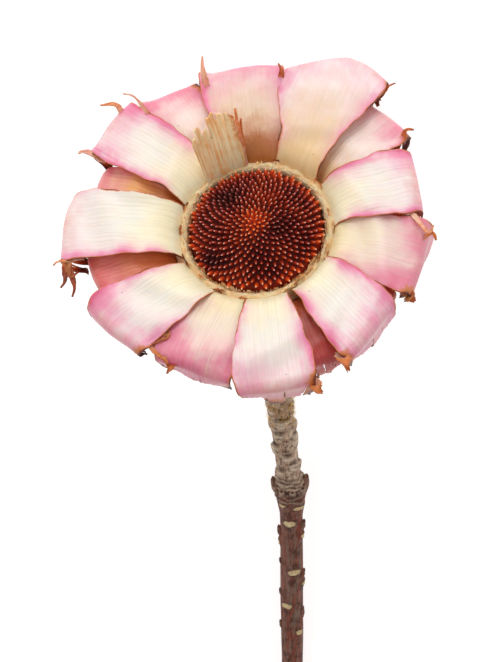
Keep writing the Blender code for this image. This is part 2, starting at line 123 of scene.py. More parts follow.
def circle(count):
    """Angles of evenly spread points round a circle."""
    return np.arange(count) * 2 * np.pi / count


def smooth(x, low=0.0, high=1.0):
    """Rises smoothly from 0 at low to 1 at high."""
    x = np.clip((np.asarray(x, float) - low) / (high - low), 0.0, 1.0)
    return x * x * (3 - 2 * x)


def bell(x, width):
    """Falls from 1 at 0 to both sides."""
    return np.exp(-((x / width) ** 2))


def fade(distance, width):
    """Falls from 1 at an edge. The width is in millimetres."""
    return np.exp(-distance / (width * MM))


def waves(rng, position, lengths):
    """Sum of sines of the given wavelengths with random phases, between about -1 and 1."""
    total = sum(np.sin(2 * np.pi * (position / length + rng.random())) for length in lengths)
    return total / math.sqrt(len(lengths))


def drawn(rng, low, high, count):
    return np.array([rng.uniform(low, high) for _ in range(count)])


def evenly(points, count):
    """count + 1 even places along a line of points, and how far along it each lies."""
    travelled = np.concatenate([[0], np.cumsum(np.linalg.norm(np.diff(points, axis=0), axis=1))])
    wanted = np.linspace(0, travelled[-1], count + 1)
    return np.stack([np.interp(wanted, travelled, points[:, k]) for k in range(3)], -1), wanted


def turned(points, degrees):
    """Points turned about the head's axis."""
    return points @ np.array(Matrix.Rotation(degrees, 3, "Z")).T


print("a smooth step:", smooth(np.linspace(0, 1, 5)).round(2))

# %% Collecting parts in one mesh
FLOOR_CLEARANCE = 0.02 * MM


class Collector:
    """Gathers points, faces and painted values of many parts, and makes one piece of them."""

    def __init__(self):
        self.points, self.faces, self.painted, self.count = [], [], [], 0

    def add(self, points, faces, **painted):
        points = np.asarray(points, float).reshape(-1, 3)
        self.faces += [[int(i) + self.count for i in face] for face in faces]
        self.points.append(points)
        self.painted.append({k: np.broadcast_to(np.ravel(v), len(points)) for k, v in painted.items()})
        self.count += len(points)

    def build(self, name, matrix, materials, slot, *nodes, wall=0.0, side=0.0):
        """The piece in the world, tied to the flower. slot, its material in the record, is not used, and nodes
        are the solids that it stands for. A wall makes a sheet thick: on both sides, or with side at -1 on its
        back."""
        points = np.concatenate(self.points) @ np.array(matrix.to_3x3()).T + np.array(matrix.translation)
        points[:, 2] = np.maximum(points[:, 2], FLOOR_CLEARANCE)
        mesh = bpy.data.meshes.new(name)
        mesh.from_pydata(points.tolist(), [], self.faces)
        for key in self.painted[0]:
            layer = mesh.attributes.new(key, "FLOAT", "POINT")
            values = np.concatenate([painted[key] for painted in self.painted])
            layer.data.foreach_set("value", values.astype(np.float32))
        mesh.shade_smooth()
        for material in materials:
            mesh.materials.append(material)
        obj = bpy.data.objects.new(name, mesh)
        bpy.context.scene.collection.objects.link(obj)
        if wall:
            solidify = obj.modifiers.new("Wall", "SOLIDIFY")
            solidify.thickness, solidify.offset = wall, side
        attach(obj, "root")
        if nodes:
            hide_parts(*nodes)
        return obj


print("collector ready")

# %% [markdown]
# ## Helpers for materials
# A material is a small program of nodes. Placing each node by hand takes many lines, so an output of a node is
# wrapped in a class that knows arithmetic: a sum of two outputs adds the node that works it out. Colours are
# given as they look on a screen, from 0 to 255, and turned into the linear values that the shader wants.

# %% Adding nodes
def paint(red, green, blue):
    """Linear colour of a screen colour."""
    shares = [c / 255 for c in (red, green, blue)]
    return (*[s / 12.92 if s <= 0.04045 else ((s + 0.055) / 1.055) ** 2.4 for s in shares], 1.0)


def tint(colour):
    """The linear colour of three screen values. A linear colour and a signal stay as they are."""
    return paint(*colour) if isinstance(colour, tuple) and len(colour) == 3 else colour


def put(tree, kind, feeds, output=0, **settings):
    """Adds a node and returns one of its outputs. settings are its properties, and feeds its inputs."""
    node = tree.nodes.new(kind)
    for name, value in settings.items():
        setattr(node, name, value)
    for key, value in feeds.items():
        if isinstance(value, Signal):
            tree.links.new(value.socket, node.inputs[key])
        else:
            node.inputs[key].default_value = value
    return Signal(node.outputs[output])


class Signal:
    """An output of a node. Arithmetic with it adds the nodes that work out the result."""

    def __init__(self, socket):
        self.socket, self.tree = socket, socket.id_data

    def math(self, operation, a, b):
        return put(self.tree, "ShaderNodeMath", {0: a, 1: b}, operation=operation)

    def __add__(self, other):
        return self.math("ADD", self, other)

    def __sub__(self, other):
        return self.math("SUBTRACT", self, other)

    def __mul__(self, other):
        return self.math("MULTIPLY", self, other)

    def __rsub__(self, other):
        return self.math("SUBTRACT", other, self)

    def __rtruediv__(self, other):
        return self.math("DIVIDE", other, self)

    def step(self, low, high):
        """Smooth step of the value, from 0 at low to 1 at high."""
        feeds = {"Value": self, "From Min": low, "From Max": high}
        return put(self.tree, "ShaderNodeMapRange", feeds, interpolation_type="SMOOTHSTEP")

    def between(self, a, b):
        """A colour between two others. The value is the share of the second."""
        return put(self.tree, "ShaderNodeMix", {0: self, 6: tint(a), 7: tint(b)}, 2, data_type="RGBA")

    def mixed(self, share, other, blend="MIX"):
        """This colour mixed with a share of another."""
        feeds = {0: share, 6: self, 7: tint(other)}
        return put(self.tree, "ShaderNodeMix", feeds, 2, data_type="RGBA", blend_type=blend)

    def shaded(self, share, streaks, middle, dark, plain, light):
        """This colour with a share of three linear shades, of which the streaks choose one."""
        shade = streaks.ramp((0.0, (*dark, 1)), (middle, (*plain, 1)), (1.0, (*light, 1)))
        return self.mixed(share, shade, "MULTIPLY")

    def ramp(self, *stops):
        """Colour that follows the value through any number of (place, colour) stops."""
        result = put(self.tree, "ShaderNodeValToRGB", {0: self})
        elements = result.socket.node.color_ramp.elements
        while len(elements) < len(stops):
            elements.new(1.0)
        for element, (place, colour) in zip(elements, stops):
            element.position, element.color = place, tint(colour)
        return result


print("a pink in linear values:", [round(c, 3) for c in paint(238, 150, 172)])

# %% [markdown]
# ## Effects that several finishes share
# Plant fibre shows as fine streaks along a bract, a scale or a stub. Dry tissue goes tan and then dark brown
# at torn edges. Small dark specks lie here and there, and no surface is even in colour. Each of the four
# effects is a node group with named sockets, built once and placed in each material with its own values.

# %% Node groups
# The amounts between which dry tissue takes a colour, and the colour
DRY_STAGES = ((0.2, 0.5, (205, 122, 62)), (0.5, 0.78, (150, 68, 30)), (0.82, 1.1, (74, 34, 20)))


def new_group(name, output, kind="Float", **inputs):
    """A group with an output of a kind, and its inputs in their order."""
    group = bpy.data.node_groups.new(name, "ShaderNodeTree")
    for direction, sockets in (("INPUT", inputs), ("OUTPUT", {output: kind})):
        for socket, socket_kind in sockets.items():
            group.interface.new_socket(socket, in_out=direction, socket_type=f"NodeSocket{socket_kind}")
    given = group.nodes.new("NodeGroupInput")
    return group, *[Signal(given.outputs[socket]) for socket in inputs]


def end_group(result):
    """Joins the result to the group's output."""
    result.tree.links.new(result.socket, result.tree.nodes.new("NodeGroupOutput").inputs[0])
    return result.tree


def noise(place, scale, detail, roughness):
    feeds = {"Vector": place, "Scale": scale, "Detail": detail, "Roughness": roughness}
    return put(place.tree, "ShaderNodeTexNoise", feeds)


def fibre_group():
    """Streaks of a given pitch, drawn out along the second axis."""
    group, place, pitch, stretch = new_group(
        "fibre_streaks", "Streaks", Place="Vector", Pitch="Float", Stretch="Float"
    )
    size = put(group, "ShaderNodeCombineXYZ", {"X": pitch, "Y": pitch * stretch, "Z": 0.37})
    scaled = put(group, "ShaderNodeVectorMath", {0: place, 1: size}, operation="DIVIDE")
    return end_group(noise(scaled, 1.0, 2.0, 0.65).step(0.28, 0.72))


def mottle_group():
    """Soft patches of a given size."""
    _, place, size = new_group("mottle", "Patches", Place="Vector", Size="Float")
    return end_group(noise(place, 1.0 / size, 3.0, 0.55).step(0.3, 0.7))


def speck_group():
    """Sparse round specks: cells of a given size, of which only a share holds one."""
    group, place, size, share = new_group("specks", "Specks", Place="Vector", Size="Float", Share="Float")
    cells = put(group, "ShaderNodeTexVoronoi", {"Vector": place, "Scale": 1.0 / size}, "Color")
    number = put(group, "ShaderNodeSeparateColor", {0: cells})
    away = Signal(cells.socket.node.outputs["Distance"]).step(0.08, 0.22)
    return end_group(number.math("LESS_THAN", number, share) * (1.0 - away))


def drying_group():
    """A colour that turns tan and then dark brown as the amount grows, with a ragged front."""
    _, colour, amount, place = new_group(
        "drying", "Colour", "Color", Colour="Color", Amount="Float", Place="Vector"
    )
    amount = amount + (noise(place, 0.9, 4.0, 0.7) - 0.5) * 0.7
    for low, high, dry in DRY_STAGES:
        colour = colour.mixed(amount.step(low, high), dry)
    return end_group(colour)


GROUPS = {
    "fibre": fibre_group(), "mottle": mottle_group(), "specks": speck_group(), "drying": drying_group(),
}
print("shared effects:", ", ".join(sorted(GROUPS)))

# %% A finish under way
class Finish:
    """A material, its tree and its shader. Its effects are placed along a sheet or on the whole piece."""

    def __init__(self, name, on="", **constants):
        self.material = bpy.data.materials.new(name)
        self.material.use_nodes = True
        self.tree = self.material.node_tree
        self.shader = self.tree.nodes["Principled BSDF"]
        for socket, value in constants.items():
            self.shader.inputs[socket.replace("_", " ")].default_value = value
        if on == "sheet":
            feeds = {"X": self.read("side_mm"), "Y": self.read("run_mm"), "Z": self.read("number")}
            self.place = put(self.tree, "ShaderNodeCombineXYZ", feeds)
        elif on == "piece":
            feeds = {0: put(self.tree, "ShaderNodeTexCoord", {}, "Object"), 1: (1 / MM,) * 3}
            self.place = put(self.tree, "ShaderNodeVectorMath", feeds, operation="MULTIPLY")

    def read(self, name):
        """A value painted on the mesh."""
        return put(self.tree, "ShaderNodeAttribute", {}, "Fac", attribute_name=name)

    def use(self, group, **feeds):
        """The result of a shared effect."""
        return put(self.tree, "ShaderNodeGroup", {"Place": self.place, **feeds}, node_tree=GROUPS[group])

    def fibre(self, pitch, stretch):
        return self.use("fibre", Pitch=pitch, Stretch=stretch)

    def mottle(self, size):
        return self.use("mottle", Size=size)

    def specks(self, size, share):
        return self.use("specks", Size=size, Share=share)

    def dried(self, colour):
        return self.use("drying", Colour=colour, Amount=self.read("dried"))

    def end(self, colour, roughness, relief, depth, strength=1.0):
        """Joins colour, roughness and relief, whose full height is given in millimetres, to the shader."""
        feeds = {"Strength": strength, "Distance": depth * MM, "Height": relief}
        bump = put(self.tree, "ShaderNodeBump", feeds)
        for signal, socket in ((colour, "Base Color"), (roughness, "Roughness"), (bump, "Normal")):
            self.tree.links.new(signal.socket, self.shader.inputs[socket])
        return self.material


print("finishes can be made")

# %% [markdown]
# ## The finish of the bracts
# A bract is waxy and satin. Near the root it is a yellowish cream, then nearly white, and towards its edges
# and its fold it blushes pink. A gradient by height would do this badly, because each bract blushes in its
# own way. So the mesh carries how far along a point lies, how pink it is and how dry it is, and the material
# turns these into colour and breaks their borders up with noise. Along the side edges the dry value is partly
# painted shade, where an edge meets its neighbour.

# %% Bract face
TRANSLUCENT = {"Subsurface_Weight": 0.3, "Subsurface_Scale": 1.6 * MM, "Subsurface_Radius": (1.0, 0.5, 0.3)}
DEEP_PINK = (0.92, 0.6, 0.74)
# Colours at the root, in the middle, at the end, on the flap and of the blush
FACE_COLOURS = {
    "cream": ((248, 234, 200), (239, 230, 217), (240, 226, 222), (230, 172, 166), (234, 140, 172)),
    # warm: a darker copy of cream, painted shade on a top bract that faces away from the key lamp
    "warm": ((230, 196, 146), (230, 202, 180), (246, 230, 228), (230, 176, 170), (234, 142, 172)),
    # shaded: a darker copy of cream, painted shade on the tucked bracts that lie under their neighbours
    "shaded": ((244, 224, 182), (238, 216, 196), (238, 208, 202), (222, 150, 144), (228, 134, 156)),
    # tan: the root partly the bract's own dry brown, partly painted shadow of the tall bract; the rest a darker
    # copy, painted shade of a top bract
    "tan": ((178, 106, 46), (224, 194, 164), (234, 208, 202), (228, 166, 160), (232, 138, 168)),
    # golden: the root partly its own dry tan, partly painted warm shade of the gap it lies in
    "golden": ((208, 122, 50), (244, 176, 100), (254, 212, 176), (228, 166, 160), (238, 124, 140)),
    "pink": ((246, 208, 158), (254, 230, 220), (252, 222, 218), (226, 152, 138), (236, 142, 164)),
    # rose: root and middle partly their own dry orange, partly painted warm shade of the gap they lie in
    "rose": ((214, 112, 52), (228, 130, 84), (242, 166, 146), (200, 96, 70), (228, 100, 108)),
    # salmon: partly the bracts' own salmon, partly painted deep shade of the gaps where they show
    "salmon": ((202, 100, 52), (190, 72, 48), (184, 60, 46), (164, 56, 38), (200, 74, 72)),
}
# Place along a bract, whose fold starts at 0.5, and the colour of its back there
BACK_COLOURS = (
    (0.0, (206, 148, 98)), (0.2, (216, 136, 94)), (0.42, (208, 108, 82)), (0.62, (188, 84, 58)),
    (0.95, (162, 70, 42)),
)


def along_bract(finish, patches, wander):
    """Half of the painted place along a bract, so that its tip is at 1, made uneven by patches."""
    return finish.read("along") * 0.5 + (patches - 0.5) * wander


def bract_face(name, root, middle, end, flap, pink):
    finish = Finish(f"bract_face_{name}", "sheet", Coat_Weight=0.2, Coat_Roughness=0.3, **TRANSLUCENT)
    fine, coarse, patches = finish.fibre(0.32, 45.0), finish.fibre(1.3, 24.0), finish.mottle(5.5)
    stops = ((0.0, root), (0.16, root), (0.3, middle), (0.47, end), (0.62, flap))
    colour = along_bract(finish, patches, 0.07).ramp(*stops)
    blush = finish.read("blush") * (finish.mottle(9.0) * 0.9 + coarse * 0.3 + 0.4)
    deep = tuple(round(part * share) for part, share in zip(pink, DEEP_PINK))
    colour = colour.mixed(blush.step(0.04, 1.15), pink).mixed(blush.step(0.9, 1.9) * 0.9, deep)
    streaks = fine * 0.68 + coarse * 0.32
    colour = colour.shaded(0.85, streaks, 0.5, (0.885, 0.855, 0.82), (0.975, 0.97, 0.965), (1.02,) * 3)
    colour = colour.mixed(patches * finish.read("tan"), (226, 196, 120), "MULTIPLY")
    colour = finish.dried(colour.mixed(finish.specks(1.5, 0.02) * 0.55, (126, 74, 40)))
    roughness = streaks * 0.14 + 0.3 + finish.read("dried") * 0.25
    return finish.end(colour, roughness, streaks, 0.08, 0.85)


def bract_back_finish():
    """The back of a bract: matt, salmon where it is fresh and reddish brown towards its end."""
    finish = Finish("bract_back", "sheet", Specular_IOR_Level=0.35, **TRANSLUCENT)
    coarse, fine = finish.fibre(0.9, 20.0), finish.fibre(0.35, 30.0)
    colour = along_bract(finish, finish.mottle(4.0), 0.12).ramp(*BACK_COLOURS)
    colour = colour.shaded(0.8, coarse, 0.6, (0.66, 0.55, 0.5), (0.95, 0.94, 0.93), (1, 1, 1))
    return finish.end(finish.dried(colour), fine * 0.2 + 0.5, coarse + fine, 0.04)


bract_faces = {name: bract_face(name, *colours) for name, colours in FACE_COLOURS.items()}
bract_back = bract_back_finish()
print("bract finishes:", ", ".join(sorted(bract_faces)), "and the back")

# %% [markdown]
# ## The shape of a bract
# Seen from the side, a bract is a chain of arcs: two that rise from its root, the blade, the fold and the
# flap that hangs behind it. These are the values that the solids were made with, so the fine sheet lies where
# the solid lies. Another way would be to subdivide the solid itself, but a slab that is made smooth stays a
# slab: a sheet made anew can be thin, waved and torn.

# %% Values of the bracts
FOLD_RADIUS = 3.2 * MM
FOLD_END_ANGLE = -98
TIP_SHARE = 0.72
RAGGED_SHARE = 0.18
CUP_DEPTHS = (0.2 * MM, 0.9 * MM)
SOLID_COLUMNS = 4
BOW_SHARPNESS = 1.3

# Of each row: where it starts, the angles of its arcs and the lengths of the two that rise, the points along
# each arc and across the sheet, the strips that its tips are torn in, and its material in the record
Row = namedtuple("Row", "root_radius root_height angles rise stations columns strips slot")
ROWS = {
    "upper": Row(19.15 * MM, -4.8 * MM, (88, 70, 9, -15), (4.2 * MM, 8.0 * MM), (7, 11, 26, 18, 18), 60, 8,
                 "cream_pink_bract"),
    "tucked": Row(19.25 * MM, -4.8 * MM, (88, 68, 8, -15), (4.0 * MM, 6.2 * MM), (7, 11, 24, 18, 18), 54, 8,
                  "cream_pink_bract"),
    "middle": Row(20.4 * MM, -7.4 * MM, (84, 58, 6, -15), (4.8 * MM, 7.6 * MM), (6, 9, 22, 16, 16), 46, 9,
                  "pink_bract"),
    "lower": Row(20.8 * MM, -9.9 * MM, (70, 38, 2, -18), (4.6 * MM, 6.0 * MM), (5, 7, 15, 12, 14), 38, 9,
                 "salmon_brown_bract"),
}

# Azimuth, swing, skew and curl are in degrees, and reach, width, bow, flap and root width in millimetres. The
# last values say how pink a bract is at its clockwise edge, its other edge and its fold, which finish its face
# has, and how late along the blade it widens.
Bract = namedtuple(
    "Bract",
    "row azimuth swing reach width skew bow flap curl root near_pink far_pink fold_pink face flare",
    defaults=(0.4, 0.4, 0.3, "salmon", 1.0),
)
BRACTS = (
    Bract("upper", 91.5, 1, 48.6, 20.8, 3, 0.6, 11.5, 16, 11.6, 0.5, 1.0, 0.55, "tan"),
    Bract("upper", 136, 3, 50.7, 18.6, -3, 0.7, 12.0, 24, 13.0, 0.9, 0.9, 0.45, "cream"),
    Bract("upper", 172.3, -3, 50.3, 20.4, 4, 0.6, 12.5, 18, 15.2, 0.3, 1.1, 0.05, "cream"),
    Bract("upper", 212, -6, 46.2, 20.5, -9, 0.7, 12.0, 20, 10.6, 0.85, 0.5, 0.5, "cream"),
    Bract("upper", 272, -1.5, 46.9, 21.4, 1.5, 0.6, 13.0, 16, 9.8, 0.75, 0.95, 0.35, "cream"),
    Bract("upper", 308, -2, 44.2, 20.6, -6, 0.8, 12.0, 22, 12.4, 1.1, 1.1, 0.45, "cream"),
    Bract("upper", 10, -2, 43.4, 19.6, 5, 0.6, 12.0, 18, 12.4, 0.95, 1.1, 0.35, "cream"),
    Bract("upper", 58.8, 6.3, 49.4, 27.8, -14, 6.4, 11.5, 22, 12.6, 0.7, 0.8, 0.35, "warm", flare=2.0),
    Bract("tucked", 243, -3, 43.2, 19.4, 0, 0.6, 12.0, 18, 6.5, 1.0, 0.5, 0.8, "shaded"),
    Bract("tucked", 340.2, -0.8, 44.6, 19.4, 3, 0.6, 12.5, 20, 7.8, 0.9, 0.6, 0.5, "shaded"),
    Bract("middle", 38.5, 1.5, 47.6, 17.0, -3, 0.5, 11.0, 20, 10.4, 0.7, 0.5, 0.5, "pink"),
    Bract("middle", 114, 0, 50.0, 16.0, 9, 0.5, 10.5, 26, 10.4, 0.7, 0.6, 0.6, "pink"),
    Bract("middle", 153, 0, 45.6, 10.5, -5, 0.4, 11.0, 20, 10.4, 0.7, 0.4, 0.4, "golden"),
    Bract("middle", 189, 0, 43.6, 13.0, -5, 0.5, 11.0, 24, 10.4, 0.6, 0.5, 0.5, "rose"),
    Bract("middle", 291, 0, 42.6, 12.0, 2, 0.5, 11.0, 22, 10.4, 0.6, 0.6, 0.5, "salmon"),
    Bract("lower", 350, -2, 37.9, 19.0, 3, 0.9, 10.5, 20, 14.6),
    Bract("lower", 38, -1, 39.4, 18.0, -3, 0.9, 10.5, 22, 15.4),
    Bract("lower", 81, -2, 40.5, 18.0, 3, 0.9, 10.0, 24, 15.4),
    Bract("lower", 131, 1, 40.0, 18.0, -3, 0.9, 10.5, 22, 15.4),
    Bract("lower", 176, 1, 38.6, 18.5, 3, 0.9, 10.5, 22, 15.4),
    Bract("lower", 224, 3, 38.6, 20.0, 4, 0.9, 10.5, 22, 15.4),
    Bract("lower", 265, 0, 37.0, 17.0, -3, 0.9, 10.5, 20, 15.4),
    Bract("lower", 318, 6, 38.2, 17.6, 3, 0.9, 10.5, 20, 13.6),
)
print("bracts:", len(BRACTS), "in", len(ROWS), "rows")

# %% The chain of arcs
def bract_line(row, reach, flap, curl, stations):
    """Side view of a bract, station by station. reach and flap hold one value for each column of points."""
    root, first, second, brow = np.radians(row.angles)
    fold_end = math.radians(FOLD_END_ANGLE)
    flap_end = fold_end - math.radians(curl)
    fold_length = FOLD_RADIUS * (brow - fold_end)
    rising = ((root, first, row.rise[0]), (first, second, row.rise[1]))
    gained = FOLD_RADIUS * (1 + np.sin(brow))
    gained += sum(length * (np.sin(end) - np.sin(start)) / (end - start) for start, end, length in rising)
    blade = (reach - row.root_radius - gained) * (brow - second) / (np.sin(brow) - np.sin(second))
    stretches = (*rising, (second, brow, blade), (brow, fold_end, fold_length), (fold_end, flap_end, flap))
    fold_start = sum(row.rise) + blade
    out, up = row.root_radius + 0 * reach, row.root_height + 0 * reach
    travelled = 0 * reach
    lines = [(out, up, travelled)]
    for (start, end, length), steps in zip(stretches, stations):
        radius = length / (end - start)
        for share in np.arange(1, steps + 1) / steps:
            slope = start + (end - start) * share
            ahead, above = np.sin(slope) - np.sin(start), np.cos(slope) - np.cos(start)
            lines.append((out + radius * ahead, up - radius * above, travelled + length * share))
        out, up, travelled = lines[-1]
    out, up, run = (np.array([line[k] for line in lines]) for k in range(3))
    blade_share = np.minimum(1.0, run / fold_start)
    flap_share = np.maximum(0.0, (run - fold_start) / (fold_length + flap))
    return out, up, run, blade_share, flap_share


run = bract_line(ROWS["upper"], np.full(1, 48 * MM), np.full(1, 12 * MM), 20, (2, 2, 3, 4, 2))[2]
print("an upper bract is about", round(run[-1, 0] / MM), "mm long")

# %% [markdown]
# ## Torn tips
# A dried bract tears along its fibres, so its tip ends in strips of uneven length, with slits between them,
# and each strip curls its own way. The strips are chosen by seeded random breaks between the columns of the
# grid: a slit is a column of faces left out near the tip, and the curl is a shift along the surface's normal
# that grows towards the end.

# %% Tearing an edge
def torn(rng, count, strips, depth, jag):
    """For each column of points: its strip, and the share of the full length that it reaches."""
    breaks = sorted(rng.sample(range(2, count - 2), strips - 1))
    strip = np.searchsorted(breaks, np.arange(count), side="right")
    lengths = np.array([1 - depth * rng.random() for _ in range(strips)])
    slopes = drawn(rng, -1, 1, strips)
    edges = np.array([0, *breaks, count])
    middle = (edges[:-1] + edges[1:]) / 2
    offset = (np.arange(count) - middle[strip]) / (edges[1:] - edges[:-1])[strip]
    return strip, lengths[strip] + slopes[strip] * offset * depth * 0.6 + drawn(rng, -jag, jag, count)


def slit_quads(rng, strip, places, low, high):
    """Quads of a torn sheet. Between two strips, those from a random place on are left out."""
    starts = [2.0 if strip[k] == strip[k + 1] else rng.uniform(low, high) for k in range(len(strip) - 1)]
    return grid_quads(len(places) - 1, len(starts))[(places[:-1, :-1] < np.array(starts)).ravel()]


def surface_normals(points):
    """Normals of a grid of points, on the side from which along comes before across."""
    normals = np.cross(np.gradient(points, axis=0), np.gradient(points, axis=1))
    return normals / np.maximum(np.linalg.norm(normals, axis=2, keepdims=True), 1e-12)


strip, share = torn(random.Random(1), 40, 6, 0.3, 0.02)
print("strip lengths of a sample tip:", [round(float(share[strip == k].mean()), 2) for k in range(6)])

# %% The sheet of one bract
EDGE_WAVE = 0.38 * MM
BODY_WAVE = 0.44 * MM
RIB_HEIGHT = 0.035 * MM
RIB_PITCH = 1.15 * MM
STRIP_CURL = 3.0 * MM
CURLS = (-1.0, 0.3)
TIP_TEAR = 0.34
TIP_JAG = 0.03
EDGE_NIBBLE = 0.16 * MM
# Edges that go on under the neighbour: bract, side (-1 is the clockwise one) and millimetres
TUCKS = {0: (-1, 2.2), 3: (1, 0.8), 8: (0, 1.4), 9: (0, 1.4), 10: (0, 1.0)}
TUCK_DROP = 0.45
# Side of the corner that has dried, and how much, by the place of a bract in the table
DRY_CORNERS = {
    7: (-1, 0.25), 9: (-1, 0.5), 10: (-1, 0.7), 11: (-1, 0.8), 3: (1, 0.4), 4: (1, 0.5), 5: (-1, 0.5),
}
# Strength and width in millimetres of the blush along a side edge
EDGE_BLUSH = ((0.7, 0.8), (0.85, 3.2))


def two_edges(rng, across, run, near, far):
    """Waves along a sheet, with wavelengths of their own on each half."""
    return np.where(across < 0, *[waves(rng, run, [x * MM for x in lengths]) for lengths in (near, far)])


def bract_points(bract, seed):
    """Points of the face of a bract in the head's frame, with all that its finish needs to know of each."""
    row = ROWS[bract.row]
    count = row.columns + 1
    rng = random.Random(seed)
    cup = rng.uniform(*CUP_DEPTHS)
    solid_flaps = 1 + RAGGED_SHARE * drawn(rng, -1.0, 1.0, SOLID_COLUMNS + 1)
    across = np.linspace(-1, 1, count)
    slant = across * bract.width * MM / 2 * math.tan(math.radians(bract.skew))
    reach = (bract.reach + bract.bow * (1 - np.abs(across) ** BOW_SHARPNESS)) * MM + slant
    strip, torn_share = torn(rng, count, row.strips, TIP_TEAR, TIP_JAG)
    solid_across = np.linspace(-1, 1, SOLID_COLUMNS + 1)
    flap = bract.flap * MM * np.interp(across, solid_across, solid_flaps) * torn_share
    out, up, run, blade_share, flap_share = bract_line(row, reach, flap, bract.curl, row.stations)
    widening = smooth(blade_share)
    width = (bract.root + (bract.width - bract.root) * widening**bract.flare) * MM
    width = width * (1 - (1 - TIP_SHARE) * flap_share)
    nibble = EDGE_NIBBLE * two_edges(rng, across, run, (13, 5.1), (11, 6.3))
    lateral = across * (width / 2 + nibble * smooth(blade_share, 0.1, 0.3))
    side, tuck = TUCKS.get(seed, (0, 0.0))
    under = smooth(across * side if side else np.abs(across), 0.6, 1.0) * smooth(blade_share, 0.05, 0.3)
    lateral = lateral + np.sign(across) * tuck * MM * under
    bend = np.maximum(1e-6, (1 - blade_share) ** 1.5) / out
    hollow = cup * across**2 * np.sin(np.pi * blade_share) * (1 - flap_share)
    high = up + (hollow - TUCK_DROP * tuck * MM * under * abs(side))
    near, side = out - (1 - np.cos(bend * lateral)) / bend, np.sin(bend * lateral) / bend
    turn = np.radians(bract.azimuth - bract.swing * (1 - widening))
    cosine, sine = np.cos(turn), np.sin(turn)
    points = np.stack([near * cosine - side * sine, near * sine + side * cosine, high], -1)

    grown = smooth(blade_share, 0.12, 0.5)
    edge = smooth(np.abs(across), 0.62, 1.0) + 0 * run
    rim = two_edges(rng, across, run, (31, 13), (27, 11))
    ribs = np.sin(2 * np.pi * lateral / RIB_PITCH + 0.6 * waves(rng, run, (21 * MM,)))
    curls = drawn(rng, *CURLS, strip.max() + 1)[strip]
    shift = EDGE_WAVE * rim * edge * grown + RIB_HEIGHT * ribs * grown
    body = waves(rng, run + 0.4 * lateral, (11 * MM, 19 * MM))
    shift = shift + BODY_WAVE * body * (1 - 0.6 * edge) * grown
    shift = shift + STRIP_CURL * curls * smooth(flap_share, 0.4, 1.15) ** 2
    points = points + surface_normals(points) * shift[..., None]

    along = blade_share + flap_share
    from_near, from_far = (across + 1) * width / 2, (1 - across) * width / 2
    from_edge = np.minimum(from_near, from_far)
    pink = 0
    for pinkness, away in ((bract.near_pink, from_near), (bract.far_pink, from_far)):
        pink = pink + pinkness * sum(level * fade(away, wide) for level, wide in EDGE_BLUSH)
    pink = pink * smooth(along, 0.1, 0.5) + bract.fold_pink * smooth(along, 0.58, 1.06) * 1.05
    dry_side, dry_amount = DRY_CORNERS.get(seed, (1, 0.0))
    corner = dry_amount * smooth(dry_side * across, 0.5, 1.0) * smooth(along, 0.86, 1.1)
    dry_place = smooth(waves(rng, run + 40 * MM * (across > 0), (23 * MM, 11 * MM)), 0.25, 1.1)
    # Thin brown lines along the side edges and near the root: partly dry margin, partly painted shade where an
    # edge meets its neighbour. The line at the tip is dry margin.
    margin = 0.5 * fade(from_edge, 0.26) * smooth(along, 0.1, 0.4)
    margin = margin + 0.5 * fade(from_edge, 0.7) * smooth(along, 0.96, 1.15)
    margin = margin + 0.55 * fade(from_edge, 0.4) * (1 - smooth(along, 0.3, 0.6))
    dried = margin + corner + 0.75 * fade(from_edge, 0.35) * dry_place
    dried = dried + 0.9 * smooth(flap_share, 0.62, 1.0) + 0.25 * smooth(flap_share, 0.2, 0.6)
    values = {
        "along": along,
        "blush": np.clip(pink, 0, 1.4),
        "dried": dried,
        "side_mm": lateral / MM,
        "run_mm": run / MM,
        "number": 7.0 * seed,
        "tan": 0.35 * (1 - smooth(along, 0.05, 0.45)),
    }
    return points, strip, flap_share, values


points, strip, flap_share, values = bract_points(BRACTS[0], 0)
print("one bract has", points.shape[0], "by", points.shape[1], "points on its face")

# %% [markdown]
# A Solidify modifier turns the sheet into a wall. It takes a second material for the back, and a vertex group
# makes it thinner towards the side edges and the tip, as a real bract is.

# %% All the bracts
BRACT_WALL = 0.6 * MM
THINNEST = 0.42
SLIT_STARTS = (0.25, 0.75)
SHEETS = {}


def make_bract(node, bract, seed):
    points, strip, flap_share, values = bract_points(bract, seed)
    SHEETS[seed] = points
    sheet = Collector()
    sheet.add(points, slit_quads(random.Random(300 + seed), strip, flap_share, *SLIT_STARTS), **values)
    name, slot = f"sheet_of_{node}", ROWS[bract.row].slot
    finishes = (bract_faces[bract.face], bract_back)
    obj = sheet.build(name, HEAD, finishes, slot, node, wall=BRACT_WALL, side=-1.0)
    across = np.abs(np.linspace(-1, 1, points.shape[1]))
    thick = 1 - (1 - THINNEST) * np.maximum(smooth(across, 0.5, 1.0), smooth(flap_share, 0.3, 1.0))
    group = obj.vertex_groups.new(name="thickness")
    for index, weight in enumerate(thick.ravel()):
        group.add([index], float(weight), "REPLACE")
    wall = obj.modifiers["Wall"]
    wall.vertex_group = group.name
    wall.material_offset = 1
    wall.use_even_offset = False


numbers = dict.fromkeys(ROWS, 0)
for seed, bract in enumerate(BRACTS):
    numbers[bract.row] += 1
    make_bract(f"bract_{bract.row}_{numbers[bract.row]:02d}", bract, seed)
print("bracts made:", numbers)

# %% [markdown]
# ## The disc
# The disc, or receptacle, carried hundreds of florets. Each left a small stiff peg, glossy and hooked, and
# the pegs stand on the spiral of a sunflower: peg after peg is turned by the golden angle and set further
# out. Displacing one dense disc would give soft bumps, so each peg is a little leaning cone of rings with a
# tip, and all of them are one mesh with the dome under them.

